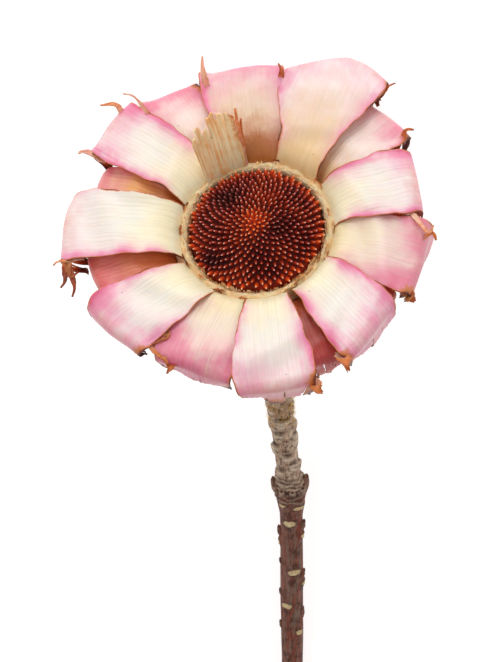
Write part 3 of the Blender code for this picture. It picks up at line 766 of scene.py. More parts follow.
# %% Finish of the disc
def disc_finish():
    finish = Finish("receptacle_lacquer", "piece", Specular_IOR_Level=0.1, Coat_Roughness=0.22)
    grain, tip = finish.mottle(0.3), finish.read("tip")
    glow = finish.read("glow") + (finish.mottle(6.0) - 0.5) * 0.3
    warm = glow.step(0.15, 1.0)
    # Dark on the dome and at the foot of each peg, lighter up the peg: partly the disc's own red, partly
    # painted shade between the pegs
    low = warm.between((74, 10, 4), (184, 50, 12))
    high = warm.between((158, 38, 18), (226, 94, 30))
    # Pale peg tips: painted highlights
    point = warm.between((230, 164, 150), (255, 208, 156))
    bright = tip.step(0.8, 0.97) * finish.read("number").step(-0.3, 0.7)
    colour = low.mixed(tip.step(0.3, 0.85), high).mixed(bright, point)
    # Darkened where the warmth is lowest: painted shade in those patches
    colour = colour.mixed(glow.step(0.3, -0.15) * 0.7, (0.1, 0.06, 0.06, 1.0), "MULTIPLY")
    coat = tip.step(0.5, 0.9) * 0.5
    finish.tree.links.new(coat.socket, finish.shader.inputs["Coat Weight"])
    return finish.end(colour, grain * 0.16 + 0.36, grain, 0.03, 0.6)


receptacle_lacquer = disc_finish()
print("disc finish ready")

# %% Dome and pegs
DOME_HEIGHT = 5.0 * MM
DOME_RINGS = 20
DOME_SIDES = 96
PEG_COUNT = 480
PEG_CROWDING = 0.57
PEG_EDGE = 17.3 * MM
PEG_SIDES = 7
PEG_HEIGHT = 0.98
PEG_ROOT = 0.45 * MM
PEG_PROFILE = ((0.0, 0.52), (0.3, 0.42), (0.55, 0.3), (0.76, 0.21), (0.92, 0.15), (1.0, 0.05))
PEG_LEAN = 0.5
BARE_GLOW = 0.36
# Patches of painted shade on the disc: azimuth, reach and size in millimetres
PAINTED_SHADE_PATCHES = ((335, 7.0, 3.9), (131, 10.0, 4.2), (212, 14.5, 3.4))


def dome_height(radius):
    return DOME_HEIGHT * (1 - (radius / DISC_RADIUS) ** 2)


def disc_glow(x, y):
    """How warm the disc's colour is: most in the middle and at the rim, least in a few patches of painted
    shade.
    """
    share = np.hypot(x, y) / DISC_RADIUS
    glow = 0.36 + 0.95 * (1 - smooth(share, 0.0, 0.32)) + 0.62 * smooth(share, 0.84, 1.0)
    for azimuth, reach, size in PAINTED_SHADE_PATCHES:
        turn = math.radians(azimuth)
        apart = np.hypot(x - reach * MM * math.cos(turn), y - reach * MM * math.sin(turn))
        glow = glow - 0.45 * bell(apart, size * MM)
    return glow


def add_dome(disc):
    share = np.concatenate([np.linspace(0.001, 1, DOME_RINGS), [1.0, 0.001]])
    height = dome_height(DISC_RADIUS * share) - np.concatenate([np.full(DOME_RINGS, PEG_ROOT), [0, 0]])
    height[-2:] = -DISC_DEPTH
    angle = circle(DOME_SIDES)
    flat = DISC_RADIUS * share[:, None, None] * np.stack([np.cos(angle), np.sin(angle)], -1)
    points = np.concatenate([flat, np.broadcast_to(height[:, None, None], (len(share), DOME_SIDES, 1))], -1)
    glow = BARE_GLOW * disc_glow(points[..., 0], points[..., 1])
    disc.add(points, grid_quads(len(share) - 1, DOME_SIDES, closed=True), tip=0.0, glow=glow, number=0.5)


def add_peg(disc, index, rng):
    """A leaning, hooked cone. The pegs stand closer in the middle, and are smaller there."""
    share = (index + 0.5) / PEG_COUNT
    radius = PEG_EDGE * share**PEG_CROWDING
    spacing = PEG_EDGE * math.sqrt(2 * math.pi * PEG_CROWDING / PEG_COUNT) * share ** (PEG_CROWDING - 0.5)
    outward = Matrix.Rotation(index * GOLDEN_ANGLE, 3, "Z") @ Vector((1, 0, 0))
    normal = (outward * (2 * DOME_HEIGHT * radius / DISC_RADIUS**2) + Vector((0, 0, 1))).normalized()
    sideways = normal.cross(outward).normalized()
    downhill = sideways.cross(normal)
    lean = PEG_LEAN * rng.uniform(0.6, 1.4)
    drift = rng.uniform(-0.25, 0.25)
    height = PEG_HEIGHT * spacing * rng.uniform(0.85, 1.15)
    foot = outward * radius + Vector((0, 0, dome_height(radius))) - normal * PEG_ROOT
    angle = circle(PEG_SIDES)
    x, y = np.cos(angle)[:, None] * np.array(downhill), np.sin(angle)[:, None] * np.array(sideways)
    rings = []
    for level, width in PEG_PROFILE:
        hook = lean * level**1.8
        aside = downhill * hook + sideways * drift * level
        centre = foot + normal * height * level * (1 - 0.3 * hook) + aside * height
        rings.append(np.array(centre) + spacing * width * ((1.0 - 0.25 * level) * x + 0.9 * y))
    quads = grid_quads(len(PEG_PROFILE) - 1, PEG_SIDES, closed=True).tolist()
    cap = [(len(PEG_PROFILE) - 1) * PEG_SIDES + k for k in range(PEG_SIDES)]
    tip = np.repeat([level for level, _ in PEG_PROFILE], PEG_SIDES)
    disc.add(np.array(rings), quads + [cap], tip=tip, glow=disc_glow(foot.x, foot.y), number=rng.random())


disc = Collector()
add_dome(disc)
rng = random.Random(5)
for index in range(PEG_COUNT):
    add_peg(disc, index, rng)
disc_piece = disc.build("disc_with_pegs", HEAD, [receptacle_lacquer], "dark_brown_receptacle", "receptacle")
print("disc:", PEG_COUNT, "pegs,", len(disc_piece.data.polygons), "faces")

# %% [markdown]
# ## Papery stubs round the disc
# The innermost bracts were thin as paper. They were cut off low, and their stubs make a jagged fringe round
# the disc, in three layers. Only one was left tall. One torn band would look like a crown, so each stub is a
# small curved sheet of its own, with its own torn top and its own lean, and they overlap.

# %% Finish of the stubs
def papery_finish(name, light, deep):
    finish = Finish(name, "sheet", Specular_IOR_Level=0.35, **TRANSLUCENT)
    fine, coarse = finish.fibre(0.22, 40.0), finish.fibre(0.9, 22.0)
    streaks = coarse * 0.75 + finish.mottle(3.0) * 0.35
    colour = streaks.step(0.1, 0.95).between(deep, light)
    colour = colour.shaded(0.8, fine, 0.5, (0.8, 0.68, 0.54), (0.97, 0.95, 0.92), (1.03,) * 3)
    return finish.end(finish.dried(colour), fine * 0.2 + 0.45, fine + coarse, 0.05)


papery_bract = papery_finish("papery_bract", (255, 234, 192), (254, 200, 138))
papery_gold = papery_finish("papery_gold", (255, 230, 190), (248, 188, 124))
print("papery finish ready")

# %% Ring of stubs
RING_RADIUS = 19.4 * MM
RING_BOTTOM = -4.4 * MM
RING_TOP = 0.1 * MM
TALL_AZIMUTH = 110.0
TALL_WIDTH = 10.8 * MM
STUB_LAYERS = ((17.75 * MM, -0.2 * MM), (18.05 * MM, -0.4 * MM), (18.4 * MM, -0.7 * MM))
STUBS_PER_LAYER = 30
STUB_ROWS, STUB_COLUMNS = 9, 10
STUB_WAVE = 0.12 * MM
TALLER_STUBS = 0.55
LOW_SIDE = 60
STUB_WALL = 0.22 * MM
# The material in the record and the name of the solid that the stubs and the wool belong to
RING_SOLID = ("papery_cream", "inner_bract_ring")


def add_stub(ring, rng, azimuth, radius, top, width, leans, number):
    """One stub: a sheet bent round the disc that stands on the ring's foot."""
    _, share = torn(rng, STUB_COLUMNS + 1, 4, 0.22, 0.05)
    level, across = sheet_grid(STUB_ROWS, STUB_COLUMNS)
    height = level * ((top - RING_BOTTOM) * share)
    side = across * width / 2 * (1 - 0.3 * level**3)
    lean = rng.uniform(*leans) * MM * level**2.5
    out = radius + (lean + STUB_WAVE * waves(rng, side + height, (1.7 * MM, 3.1 * MM)))
    turn = math.radians(azimuth) + side / radius
    points = np.stack([out * np.cos(turn), out * np.sin(turn), RING_BOTTOM + height], -1)
    dried = 0.14 * rng.random() + rng.uniform(0.1, 1.0) * smooth(level, 0.84, 1.0)
    quads = grid_quads(STUB_ROWS, STUB_COLUMNS)
    ring.add(points, quads, side_mm=side / MM, run_mm=height / MM, dried=dried, number=number)


def make_ring():
    rng = random.Random(7)
    ring = Collector()
    gap = math.degrees(TALL_WIDTH / RING_RADIUS)
    for layer, (radius, rise) in enumerate(STUB_LAYERS):
        for index in range(STUBS_PER_LAYER):
            share = (index + 0.5 * (layer % 2) + 0.4 * rng.random()) / STUBS_PER_LAYER
            width = rng.uniform(2.0, 4.6) * MM
            margin = math.degrees(width / 2 / radius)
            azimuth = TALL_AZIMUTH + gap / 2 + margin + share * (360 - gap - 2 * margin)
            hidden = max(0.0, math.cos(math.radians(azimuth - LOW_SIDE)))
            top = RING_TOP + rise + (rng.uniform(-0.8, 0.8) - 0.9 * hidden) * MM
            leans = (-0.5, 0.7)
            if layer == 2 and rng.random() < TALLER_STUBS * (1 - 0.6 * hidden):
                top += rng.uniform(0.9, 2.6) * MM
                leans = (0.5, 1.7)
            add_stub(ring, rng, azimuth, radius, top, width, leans, 40.0 + 3 * index + layer)
    ring.build("ring_of_papery_stubs", HEAD, [papery_bract], *RING_SOLID, wall=STUB_WALL)


make_ring()
print("stubs round the disc:", STUBS_PER_LAYER * len(STUB_LAYERS))

# %% [markdown]
# Behind the stubs lies a narrow valley, from which the large bracts rise. It is full of short cream wool, and
# between the large bracts stand a few more cut stubs, broader than the others. A band of smooth felt alone
# would look like putty, so it is made uneven, and some two thousand hairs stand on it.

# %% Wool in the valley
# Radius and height of the wool band in millimetres, from its inner edge to its outer one
WOOL_PROFILE = (
    (18.1, -2.0), (18.3, -0.9), (18.6, -0.45), (19.0, -0.2), (19.8, -0.1), (20.9, -0.6), (22.0, -2.4),
)
WOOL_STEPS = 16
WOOL_SIDES = 300
WOOL_HAIRS = 2200
HAIR_LENGTH = 1.25 * MM
HAIR_RADIUS = 0.035 * MM


def wool_finish():
    finish = Finish("cream_wool", "piece", Specular_IOR_Level=0.2, **TRANSLUCENT)
    grain = finish.mottle(0.25)
    colour = finish.mottle(2.2).between((255, 234, 190), (255, 208, 150))
    colour = colour.mixed(grain * 0.15, (228, 176, 120), "MULTIPLY")
    colour = colour.mixed(finish.specks(1.1, 0.13), (110, 58, 30))
    return finish.end(colour, grain * 0.15 + 0.75, grain, 0.12)


def hair(root, direction, length, radius):
    """Points of a thin three-sided cone from a root."""
    direction = np.asarray(direction) / np.linalg.norm(direction)
    side = np.cross(direction, (0.3, 0.5, 0.81))
    side /= np.linalg.norm(side)
    other = np.cross(direction, side)
    ends = []
    for share, width in ((0.0, 1.0), (1.0, 0.15)):
        centre = root + direction * length * share
        for corner in (0.0, 2.1, 4.2):
            ends.append(centre + radius * width * (math.cos(corner) * side + math.sin(corner) * other))
    return np.array(ends), [(0, 1, 4, 3), (1, 2, 5, 4), (2, 0, 3, 5), (3, 4, 5)]


def wool_point(share, azimuth, raised):
    """Place on the wool band, from its inner edge to its outer one, raised a little or sunk."""
    at = np.linspace(0, 1, len(WOOL_PROFILE))
    radius, height = (np.interp(share, at, [p[k] for p in WOOL_PROFILE]) * MM for k in range(2))
    return np.stack([radius * np.cos(azimuth), radius * np.sin(azimuth), height + raised], -1)


def make_wool():
    rng = random.Random(23)
    azimuth = circle(WOOL_SIDES)
    share = np.linspace(0, 1, WOOL_STEPS + 1)[:, None] + 0 * azimuth
    lumps = waves(rng, azimuth + 0.4 * share, [2 * np.pi / n for n in (11, 17, 29, 47)])
    lumps = lumps + 0.7 * waves(rng, share + 0.05 * np.sin(9 * azimuth), (0.7, 0.31, 0.17))
    wool = Collector()
    wool.add(wool_point(share, azimuth, 0.3 * MM * lumps), grid_quads(WOOL_STEPS, WOOL_SIDES, closed=True))
    for _ in range(WOOL_HAIRS):
        at, around = rng.uniform(0.05, 0.8), rng.uniform(0, 2 * math.pi)
        root = wool_point(np.float64(at), np.float64(around), -0.1 * MM)
        direction = (rng.gauss(0, 0.6), rng.gauss(0, 0.6), 0.7 + rng.random())
        wool.add(*hair(root, direction, HAIR_LENGTH * rng.uniform(0.4, 1.0), HAIR_RADIUS))
    wool.build("wool_in_the_valley", HEAD, [wool_finish()], *RING_SOLID)


make_wool()
print("wool:", WOOL_HAIRS, "hairs")

# %% Stubs in the valley
FRONT_BRACTS = 10
STUB_SPREAD = 8


def make_valley_stubs():
    """Cut stubs in the gaps between the roots of the upper bracts."""
    rng = random.Random(29)
    radius = ROWS["upper"].root_radius + 0.7 * MM
    front = BRACTS[:FRONT_BRACTS]
    roots = sorted(((b.azimuth - b.swing) % 360, math.degrees(b.root * MM / radius) / 2) for b in front)
    after = [*roots[1:], (roots[0][0] + 360, roots[0][1])]
    stubs = Collector()
    made = 0
    for (azimuth, half), (next_azimuth, next_half) in zip(roots, after):
        start, stop = azimuth + half - 3, next_azimuth - next_half + 3
        count = max(1, round((stop - start) / STUB_SPREAD))
        width = math.radians((stop - start) / count) * radius + 1.0 * MM
        for index in range(count):
            middle = start + (index + 0.5) * (stop - start) / count
            out, top = radius + 0.25 * MM * (index % 2), rng.uniform(0.4, 2.4) * MM
            add_stub(stubs, rng, middle, out, top, width, (0.2, 1.2), 90.0 + 5 * made)
            made += 1
    stubs.build("stubs_between_bracts", HEAD, [papery_bract], *RING_SOLID, wall=STUB_WALL)
    return made


print("stubs between the bracts:", make_valley_stubs())

# %% [markdown]
# One of the inner bracts escaped the shears and stands tall, on the far side of the disc. It is a papery,
# pleated sheet with a torn top, bent round the disc at its foot and nearly flat at its top. A plane with a
# noise displaced on it would be quicker, but pleats have to run along the fibres, as these do.

# %% The tall inner bract
TALL_LENGTH = 23.5 * MM
TALL_WALL = 0.45 * MM
TALL_LEAN = 0.15
TALL_CURVE = 0.006 / MM
TALL_RAGGED = 0.06
TALL_ROWS = 44
TALL_COLUMNS = 36
TALL_SOLID_COLUMNS = 5
TALL_CURL = 1.1 * MM
PLEAT_PITCH = 2.3 * MM


def make_tall_bract():
    rng = random.Random(11)
    tops = [1 + TALL_RAGGED * rng.uniform(-1, 1) for _ in range(TALL_SOLID_COLUMNS + 1)]
    across = np.linspace(-1, 1, TALL_COLUMNS + 1)
    strip, share = torn(rng, TALL_COLUMNS + 1, 7, 0.14, 0.02)
    full = TALL_LENGTH * np.interp(across, np.linspace(-1, 1, TALL_SOLID_COLUMNS + 1), tops) * (0.02 + share)
    level = np.linspace(0, 1, TALL_ROWS + 1)[:, None] + 0 * across
    run = level * full
    standing = np.maximum(0.0, run + RING_BOTTOM)
    lean = TALL_LEAN * standing + TALL_CURVE * standing**2
    curvature = (1 - 0.7 * level) / RING_RADIUS
    side = across * TALL_WIDTH / 2 * (1 + 0.2 * level)
    lean = lean + TALL_CURL * drawn(rng, -1.0, 1.0, strip.max() + 1)[strip] * smooth(level, 0.55, 1.0) ** 2
    pleats = 0.19 * np.abs(np.sin(np.pi * (side + 0.25 * MM * level) / PLEAT_PITCH))
    pleats = pleats + 0.12 * waves(rng, side, (0.9 * MM,))
    lean = lean + MM * pleats * smooth(level, 0.1, 0.5)
    out = RING_RADIUS + lean - (1 - np.cos(curvature * side)) / curvature
    points = np.stack([out, np.sin(curvature * side) / curvature, RING_BOTTOM + run], -1)
    quads = slit_quads(rng, strip, level, 0.8, 0.96)[:, ::-1]
    dried = 0.25 * smooth(level, 0.965, 1.0) + 0.35 * smooth(-across, 0.55, 1.0) * smooth(level, 0.2, 0.7)
    sheet = Collector()
    points = turned(points, math.radians(TALL_AZIMUTH))
    sheet.add(points, quads, side_mm=side / MM, run_mm=run / MM, dried=dried, number=31.0)
    name, node = "tall_papery_bract", "inner_bract_tall"
    return sheet.build(name, HEAD, [papery_gold], "papery_cream", node, wall=TALL_WALL, side=-1.0)


tall_piece = make_tall_bract()
print("tall bract:", len(tall_piece.data.polygons), "faces on one side")

# %% [markdown]
# ## Torn strips
# Here and there a strip has torn off a bract's edge, and stands out from the rosette or curls at a corner. A
# strip follows a route of a few points: the free ones are given by azimuth, reach from the axis and height over
# the rim, and the last two are read from the sheet of the bract that holds it, so no strip hangs in the air.
# A curve object with a flat profile would also do it. A grid made along the smoothed route can narrow towards
# its end, twist and hollow at the same time.

# %% Strips
# A bract by its place in the table, or None beside the tall bract, width in millimetres, how dry the strip is,
# and its route from the tip (azimuth, reach, height)
TORN_STRIPS = (
    (0, 1.6, 0.2, (101.1, 49.4, 9.5), (102.3, 45.1, 9.0)),
    (1, 1.6, 0.6, (132.9, 56.0, 3.6), (130.3, 52.7, 4.4)),
    (11, 1.0, 0.1, (128.1, 50.5, 10.2), (126.2, 47.5, 9.8)),
    (6, 1.3, 0.5, (350.5, 46.7, 4.0), (347.2, 45.5, 5.0)),
    (9, 1.8, 0.8, (346.2, 47.4, 3.0), (347.6, 46.6, 4.0)),
    (2, 1.5, 1.2, (188.1, 47.6, 1.0), (188.9, 49.9, 1.0)),
    (2, 1.6, 1.7, (190.4, 53.0, -1.0), (189.0, 51.4, 0.0)),
    (2, 1.4, 1.5, (194.0, 51.0, -1.5), (191.4, 49.6, -0.5)),
    (2, 1.2, 0.5, (186.4, 53.2, 5.0), (185.9, 52.0, 5.5)),
    (9, 3.4, 1.1, (326.4, 46.4, -2.0), (327.0, 44.4, -0.6)),
    (5, 3.4, 1.0, (293.8, 49.6, 3.6), (294.0, 48.7, 5.0)),
    (3, 1.7, 1.2, (226.9, 42.5, 2.5), (229.4, 38.6, 2.8)),
    (8, 1.8, 1.0, (233.6, 42.7, 1.0), (233.4, 41.6, 1.2)),
    (3, 2.4, 1.0, (234.6, 44.6, 0.4), (233.2, 43.9, 1.2)),
    (8, 2.2, 1.1, (235.6, 45.8, -1.2), (236.2, 44.9, 0.2)),
    (0, 1.5, 1.1, (77.5, 46.9, 5.4), (76.1, 45.1, 5.0)),
    (10, 1.6, 0.9, (27.4, 49.2, 1.6), (28.4, 47.6, 2.0)),
    (7, 0.8, 1.2, (41.9, 54.4, 3.6), (42.8, 52.8, 3.4)),
    (7, 3.4, 1.7, (43.0, 47.6, -0.8), (44.8, 48.6, -0.2)),
    (4, 3.4, 0.9, (284.4, 50.2, -1.4), (283.6, 49.2, 0.0)),
    (1, 2.4, 0.1, (149.6, 51.2, 5.8), (149.2, 50.4, 6.4)),
    (None, 2.0, 0.6, (93.6, 28.6, 14.4), (94.0, 24.6, 11.6), (94.6, 21.8, 7.5), (95.2, 20.2, 2.5),
     (95.6, 19.4, -2.0)),
    (None, 1.6, 0.9, (91.0, 27.0, 11.6), (92.4, 24.2, 9.0), (93.6, 21.4, 4.5), (94.4, 19.8, -1.0)),
)
STRIP_STEPS = 18
STRIP_COLUMNS = 4
STRIP_WALL = 0.25 * MM
STRIP_TWIST = 0.6
HELD_ROWS = 3
HELD_COLUMNS = 3
HELD_DEPTHS = (0.9, 2.4)
HELD_INWARD = 0.6
CURVE_POINTS = 12


def held_part(seed, place):
    """Two places in millimetres under the sheet of a bract: one nearest to a point, one further inside."""
    points = SHEETS[seed] / MM
    apart = np.linalg.norm(points - np.array(place), axis=-1)
    row, column = np.unravel_index(np.argmin(apart), apart.shape)
    inside = column + (HELD_COLUMNS if column < points.shape[1] / 2 else -HELD_COLUMNS)
    held = points[row, column], points[max(0, row - HELD_ROWS), inside]
    inward = np.array((-held[0][0], -held[0][1], 0)) / np.linalg.norm(held[0][:2])
    under = inward * HELD_INWARD + np.array((0, 0, -1))
    return [tuple(corner + under * depth) for corner, depth in zip(held, HELD_DEPTHS)]


def free_place(azimuth, reach, height):
    turn = math.radians(azimuth)
    return reach * math.cos(turn), reach * math.sin(turn), height


def strip_finish():
    finish = Finish("torn_strip", "sheet", **TRANSLUCENT)
    fine = finish.fibre(0.25, 20.0)
    colour = finish.mottle(4.0).between((242, 200, 172), (232, 160, 150))
    colour = colour.shaded(0.8, fine, 0.6, (0.8, 0.68, 0.6), (0.97, 0.96, 0.95), (1, 1, 1))
    return finish.end(finish.dried(colour), fine * 0.2 + 0.4, fine, 0.04)


def smooth_route(corners, count):
    """Points along a smooth curve through the corners."""
    knots = [Vector(corner) for corner in corners]
    ends = [knots[0] * 2 - knots[1], *knots, knots[-1] * 2 - knots[-2]]
    points = []
    for before, start, stop, after in zip(ends, ends[1:], ends[2:], ends[3:]):
        handles = start + (stop - before) / 6, stop - (after - start) / 6
        points += interpolate_bezier(start, *handles, stop, CURVE_POINTS)[:-1]
    return evenly(np.array([*points, knots[-1]]), count)


def add_strip(strips, rng, width, dryness, corners, number):
    """A strip that is pointed at the start of its route and widest where it hangs on its bract."""
    route, run = smooth_route([tuple(c * MM for c in corner) for corner in corners], STRIP_STEPS)
    level = run[:, None] / run[-1] + np.zeros(STRIP_COLUMNS + 1)
    across = np.linspace(-1, 1, STRIP_COLUMNS + 1)
    forward = np.gradient(route, axis=0)
    forward /= np.linalg.norm(forward, axis=1, keepdims=True)
    side = np.cross(forward, (0.0, 0.0, 1.0))
    side /= np.linalg.norm(side, axis=1, keepdims=True)
    up = np.cross(side, forward)
    twist = (rng.uniform(-STRIP_TWIST, STRIP_TWIST) * (1 - level[:, 0]))[:, None]
    wide = np.cos(twist) * side + np.sin(twist) * up
    high = np.cos(twist) * up - np.sin(twist) * side
    half = width * MM / 2 * (0.2 + 0.8 * smooth(level, 0.0, 0.42))
    half = half * (1 + 0.15 * waves(rng, level, (0.43, 0.19)))
    bowl = 0.25 * width * MM * across**2 * (1 - 0.5 * level)
    points = route[:, None] + wide[:, None] * (half * across)[..., None] + high[:, None] * bowl[..., None]
    dried = (0.45 * dryness + 0.12) * (1 - 0.75 * smooth(level, 0.3, 0.95)) + 0.1 * np.abs(across) ** 3
    values = {"side_mm": half * across / MM, "run_mm": level * run[-1] / MM, "dried": dried, "number": number}
    strips.add(points, grid_quads(STRIP_STEPS, STRIP_COLUMNS), **values)


strips = Collector()
rng = random.Random(37)
for index, (seed, width, dryness, *free) in enumerate(TORN_STRIPS):
    corners = [free_place(*place) for place in free]
    if seed is not None:
        corners += held_part(seed, corners[-1])
    add_strip(strips, rng, width, dryness, corners, 200.0 + 4 * index)
strips.build("torn_strips", HEAD, [strip_finish()], "pink_bract", wall=STRIP_WALL)
print("torn strips:", len(TORN_STRIPS))

# %% [markdown]
# ## The scaly base
# Behind the bracts, a woody base narrows to the stem. Small ovate scales cover it like roof tiles, in the same
# golden-angle spiral. The solid has the same scales with few faces. Here each is a finer sheet with a keel and
# a fringed, drier margin.

# %% Finish of the scales
def scale_finish():
    finish = Finish("base_scale", "piece", Specular_IOR_Level=0.3)
    grain = finish.mottle(0.5)
    colour = finish.mottle(3.5).between((150, 106, 72), (122, 78, 50))
    colour = finish.dried(colour.mixed(finish.read("tip") * 0.5, (196, 146, 104)))
    colour = colour.mixed(grain * 0.35, (70, 42, 28), "MULTIPLY")
    return finish.end(colour, grain * 0.2 + 0.6, grain, 0.08)


base_scale = scale_finish()
print("scale finish ready")

# %% Body and scales
# Radius and height of the base's outline, and of the neck that goes on into the stem, in millimetres
BASE_PROFILE = (
    (20.0, -5.2), (20.0, -9.8), (18.4, -13.5), (14.0, -18.2), (8.6, -22.6), (5.2, -25.4), (4.7, -27.0),
)
NECK_PROFILE = ((4.1, -28.2), (3.6, -31.0))
BASE_SIDES = 72
SCALE_COUNT = 46
SCALE_CROWDING = 0.8
SCALE_LAST = 14.7 * MM
SCALE_LENGTH = 8.5 * MM
SCALE_WIDTH = 10.0 * MM
SCALE_WALL = 0.5 * MM
SCALE_SUNK = 0.7 * MM
SCALE_LIFT = 2.2 * MM
SCALE_STEPS = 12
KEEL_HEIGHT = 0.35 * MM


def flank(arc):
    """Points of the base's outline at a length up its flank from the foot, and the normals there."""
    corners = np.array(BASE_PROFILE[::-1]) * MM
    steps = np.linalg.norm(np.diff(corners, axis=0), axis=1)
    starts = np.concatenate([[0], np.cumsum(steps)])
    segment = np.clip(np.searchsorted(starts, arc, side="right") - 1, 0, len(steps) - 1)
    along = np.diff(corners, axis=0)[segment] / steps[segment][..., None]
    point = corners[segment] + along * (arc - starts[segment])[..., None]
    return point, np.stack([along[..., 1], -along[..., 0]], -1)


def add_scale(base, index, rng):
    share = (index / (SCALE_COUNT - 1)) ** SCALE_CROWDING
    along, across = sheet_grid(SCALE_STEPS, SCALE_STEPS)
    point, normal = flank(SCALE_LAST * share + SCALE_LENGTH * (0.75 + 0.25 * share) * along)
    keel = KEEL_HEIGHT * bell(across, 0.16) * np.sin(np.pi * np.minimum(1, along + 0.1))
    curl = 0.25 * MM * waves(rng, across + along, (0.9, 1.7)) * along
    point = point + normal * (SCALE_LIFT * along**1.2 - SCALE_SUNK + keel + curl)[..., None]
    half_width = SCALE_WIDTH / 2 * (0.5 + 0.5 * share)
    fringe = 1 + 0.1 * drawn(rng, -1, 1, SCALE_STEPS + 1)[:, None] * along
    side = across * half_width * (1 - 0.86 * along**2.6) * fringe
    points = np.stack([point[..., 0] - side**2 / (2.2 * point[..., 0]), side, point[..., 1]], -1)
    margin = np.maximum(smooth(np.abs(across), 0.75, 1.0), smooth(along, 0.8, 1.0))
    quads = grid_quads(SCALE_STEPS, SCALE_STEPS)[:, ::-1]
    base.add(turned(points, index * GOLDEN_ANGLE), quads, tip=along, dried=0.45 * margin * along)


outline = [(0.01, BASE_PROFILE[0][1]), *BASE_PROFILE, *NECK_PROFILE, (0.01, NECK_PROFILE[-1][1])]
outline = np.array(outline) * MM
angle = circle(BASE_SIDES)
ring = np.stack([np.cos(angle), np.sin(angle), 0 * angle], -1)
body = Collector()
points = outline[:, None, :1] * ring + outline[:, None, 1:] * np.array([0, 0, 1])
body.add(points, grid_quads(len(outline) - 1, BASE_SIDES, closed=True), tip=0.1, dried=0.15)
body.build("base_body", HEAD, [base_scale], "scale_brown", "scaly_base")
scales = Collector()
rng = random.Random(13)
for index in range(SCALE_COUNT):
    add_scale(scales, index, rng)
scales.build("base_scales", HEAD, [base_scale], "scale_brown", "scaly_base", wall=SCALE_WALL, side=-1.0)
print("scales on the base:", SCALE_COUNT)

# %% [markdown]
# ## The stem
# The stem is a twig with the marks of its leaves. Near the head they stand close, as stumps that point to the
# head. A thick collar shows where one year's growth ended, and below it the bark is smoother and redder, with
# pale oval scars. The twig follows a smooth curve through the points that its solid has. Its bark is real
# relief: each ring of points is pushed in and out by furrows, knobs and rings.

# %% Finish of the bark
def bark_finish():
    finish = Finish("bark_fine", "piece", Specular_IOR_Level=0.3)
    furrows, broad = finish.fibre(0.4, 9.0), finish.fibre(1.7, 6.0)
    patches, grain = finish.mottle(3.4), finish.mottle(0.45)
    young_bark = patches.between((180, 146, 120), (238, 216, 190)).mixed(broad * 0.5, (176, 130, 112))
    young_bark = young_bark.mixed(finish.mottle(1.5).step(0.55, 0.95) * 0.8, (104, 74, 60))
    old_bark = broad.between((150, 68, 48), (134, 112, 98)).mixed(patches.step(0.5, 1.0), (102, 62, 48))
    old = (finish.read("old") + (patches - 0.5) * 0.5).step(0.25, 0.75)
    colour = young_bark.mixed(old, old_bark)
    # Darker in the furrows of the relief and lighter on their crests: partly the bark's own streaks, partly
    # painted shade and highlight
    colour = colour.shaded(0.85, furrows, 0.5, (0.38, 0.3, 0.27), (0.88, 0.86, 0.84), (1.12, 1.1, 1.07))
    colour = colour.mixed(finish.specks(1.1, 0.22) * 0.5, (196, 168, 138))
    colour = colour.mixed(finish.read("bud"), patches.between((132, 84, 62), (78, 44, 34)))
    colour = colour.mixed(finish.read("lip") * (grain * 0.5 + 0.45), (236, 220, 194))
    # hollow: painted shadow in the clefts over the cushions, between the collar rings, round the lens scars and
    # in the stumps' cut ends
    colour = colour.mixed(finish.read("hollow") * 0.88, (46, 28, 22))
    scar = (finish.read("scar") + (grain - 0.5) * 0.4).step(0.35, 0.65)
    colour = colour.mixed(scar, grain.between((246, 228, 180), (190, 150, 100)))
    return finish.end(colour, grain * 0.25 + 0.5, furrows + grain, 0.12)


bark_fine = bark_finish()
print("bark finish ready")

# %% The line of the stem
# Points in the frame of the flower, in millimetres
STEM_ROUTE = (
    (3.24, -22.72, -15.21), (4.7, -33.0, -21.8), (5.9, -52.0, -29.0), (7.2, -76.0, -33.0),
    (10.0, -103.0, -35.0), (10.6, -136.0, -37.0), (11.0, -168.0, -39.1), (11.2, -212.0, -41.9),
)
# Distance from the head and radius of the bark between its cushions, in millimetres
STEM_PROFILE = (
    (0, 4.5), (22, 3.6), (55, 3.15), (78, 3.05), (81, 4.0), (84, 4.35), (88, 4.1), (93, 3.35), (130, 3.15),
    (210, 3.3),
)
STEM_RINGS = 760
STEM_SIDES = 56
STEM_WAVE = 0.03
STEM_CURVE_POINTS = 24


def stem_line(count):
    """Evenly numbered points along a smooth curve through the stem's route, and how far along each lies."""
    knots = [Vector(p) * MM for p in STEM_ROUTE]
    ends = [knots[0], *knots, knots[-1]]
    tangents = [(after - before).normalized() for before, after in zip(ends, ends[2:])]
    fine = []
    for (a, b), (ta, tb) in zip(zip(knots, knots[1:]), zip(tangents, tangents[1:])):
        third = (b - a).length / 3
        fine += interpolate_bezier(a, a + ta * third, b - tb * third, b, STEM_CURVE_POINTS)[:-1]
    return evenly(np.array([*fine, knots[-1]]), count)


def stem_frames(line):
    """Directions along the line and two across it, turned no more than the line itself turns."""
    along = np.gradient(line, axis=0)
    along /= np.linalg.norm(along, axis=1, keepdims=True)
    sides = []
    side = np.array([1.0, 0.0, 0.0])
    for direction in along:
        side = side - direction * side.dot(direction)
        side /= np.linalg.norm(side)
        sides.append(side)
    return along, np.array(sides), np.cross(along, np.array(sides))


def stem_radius(distance):
    """Radius of the bark between its cushions at distances from the head."""
    at, radius = np.array(STEM_PROFILE).T * MM
    return np.interp(distance, at, radius)


line, distances = stem_line(STEM_RINGS)
along, first_side, second_side = stem_frames(line)
print("length of the stem:", round(distances[-1] / MM, 1), "mm")

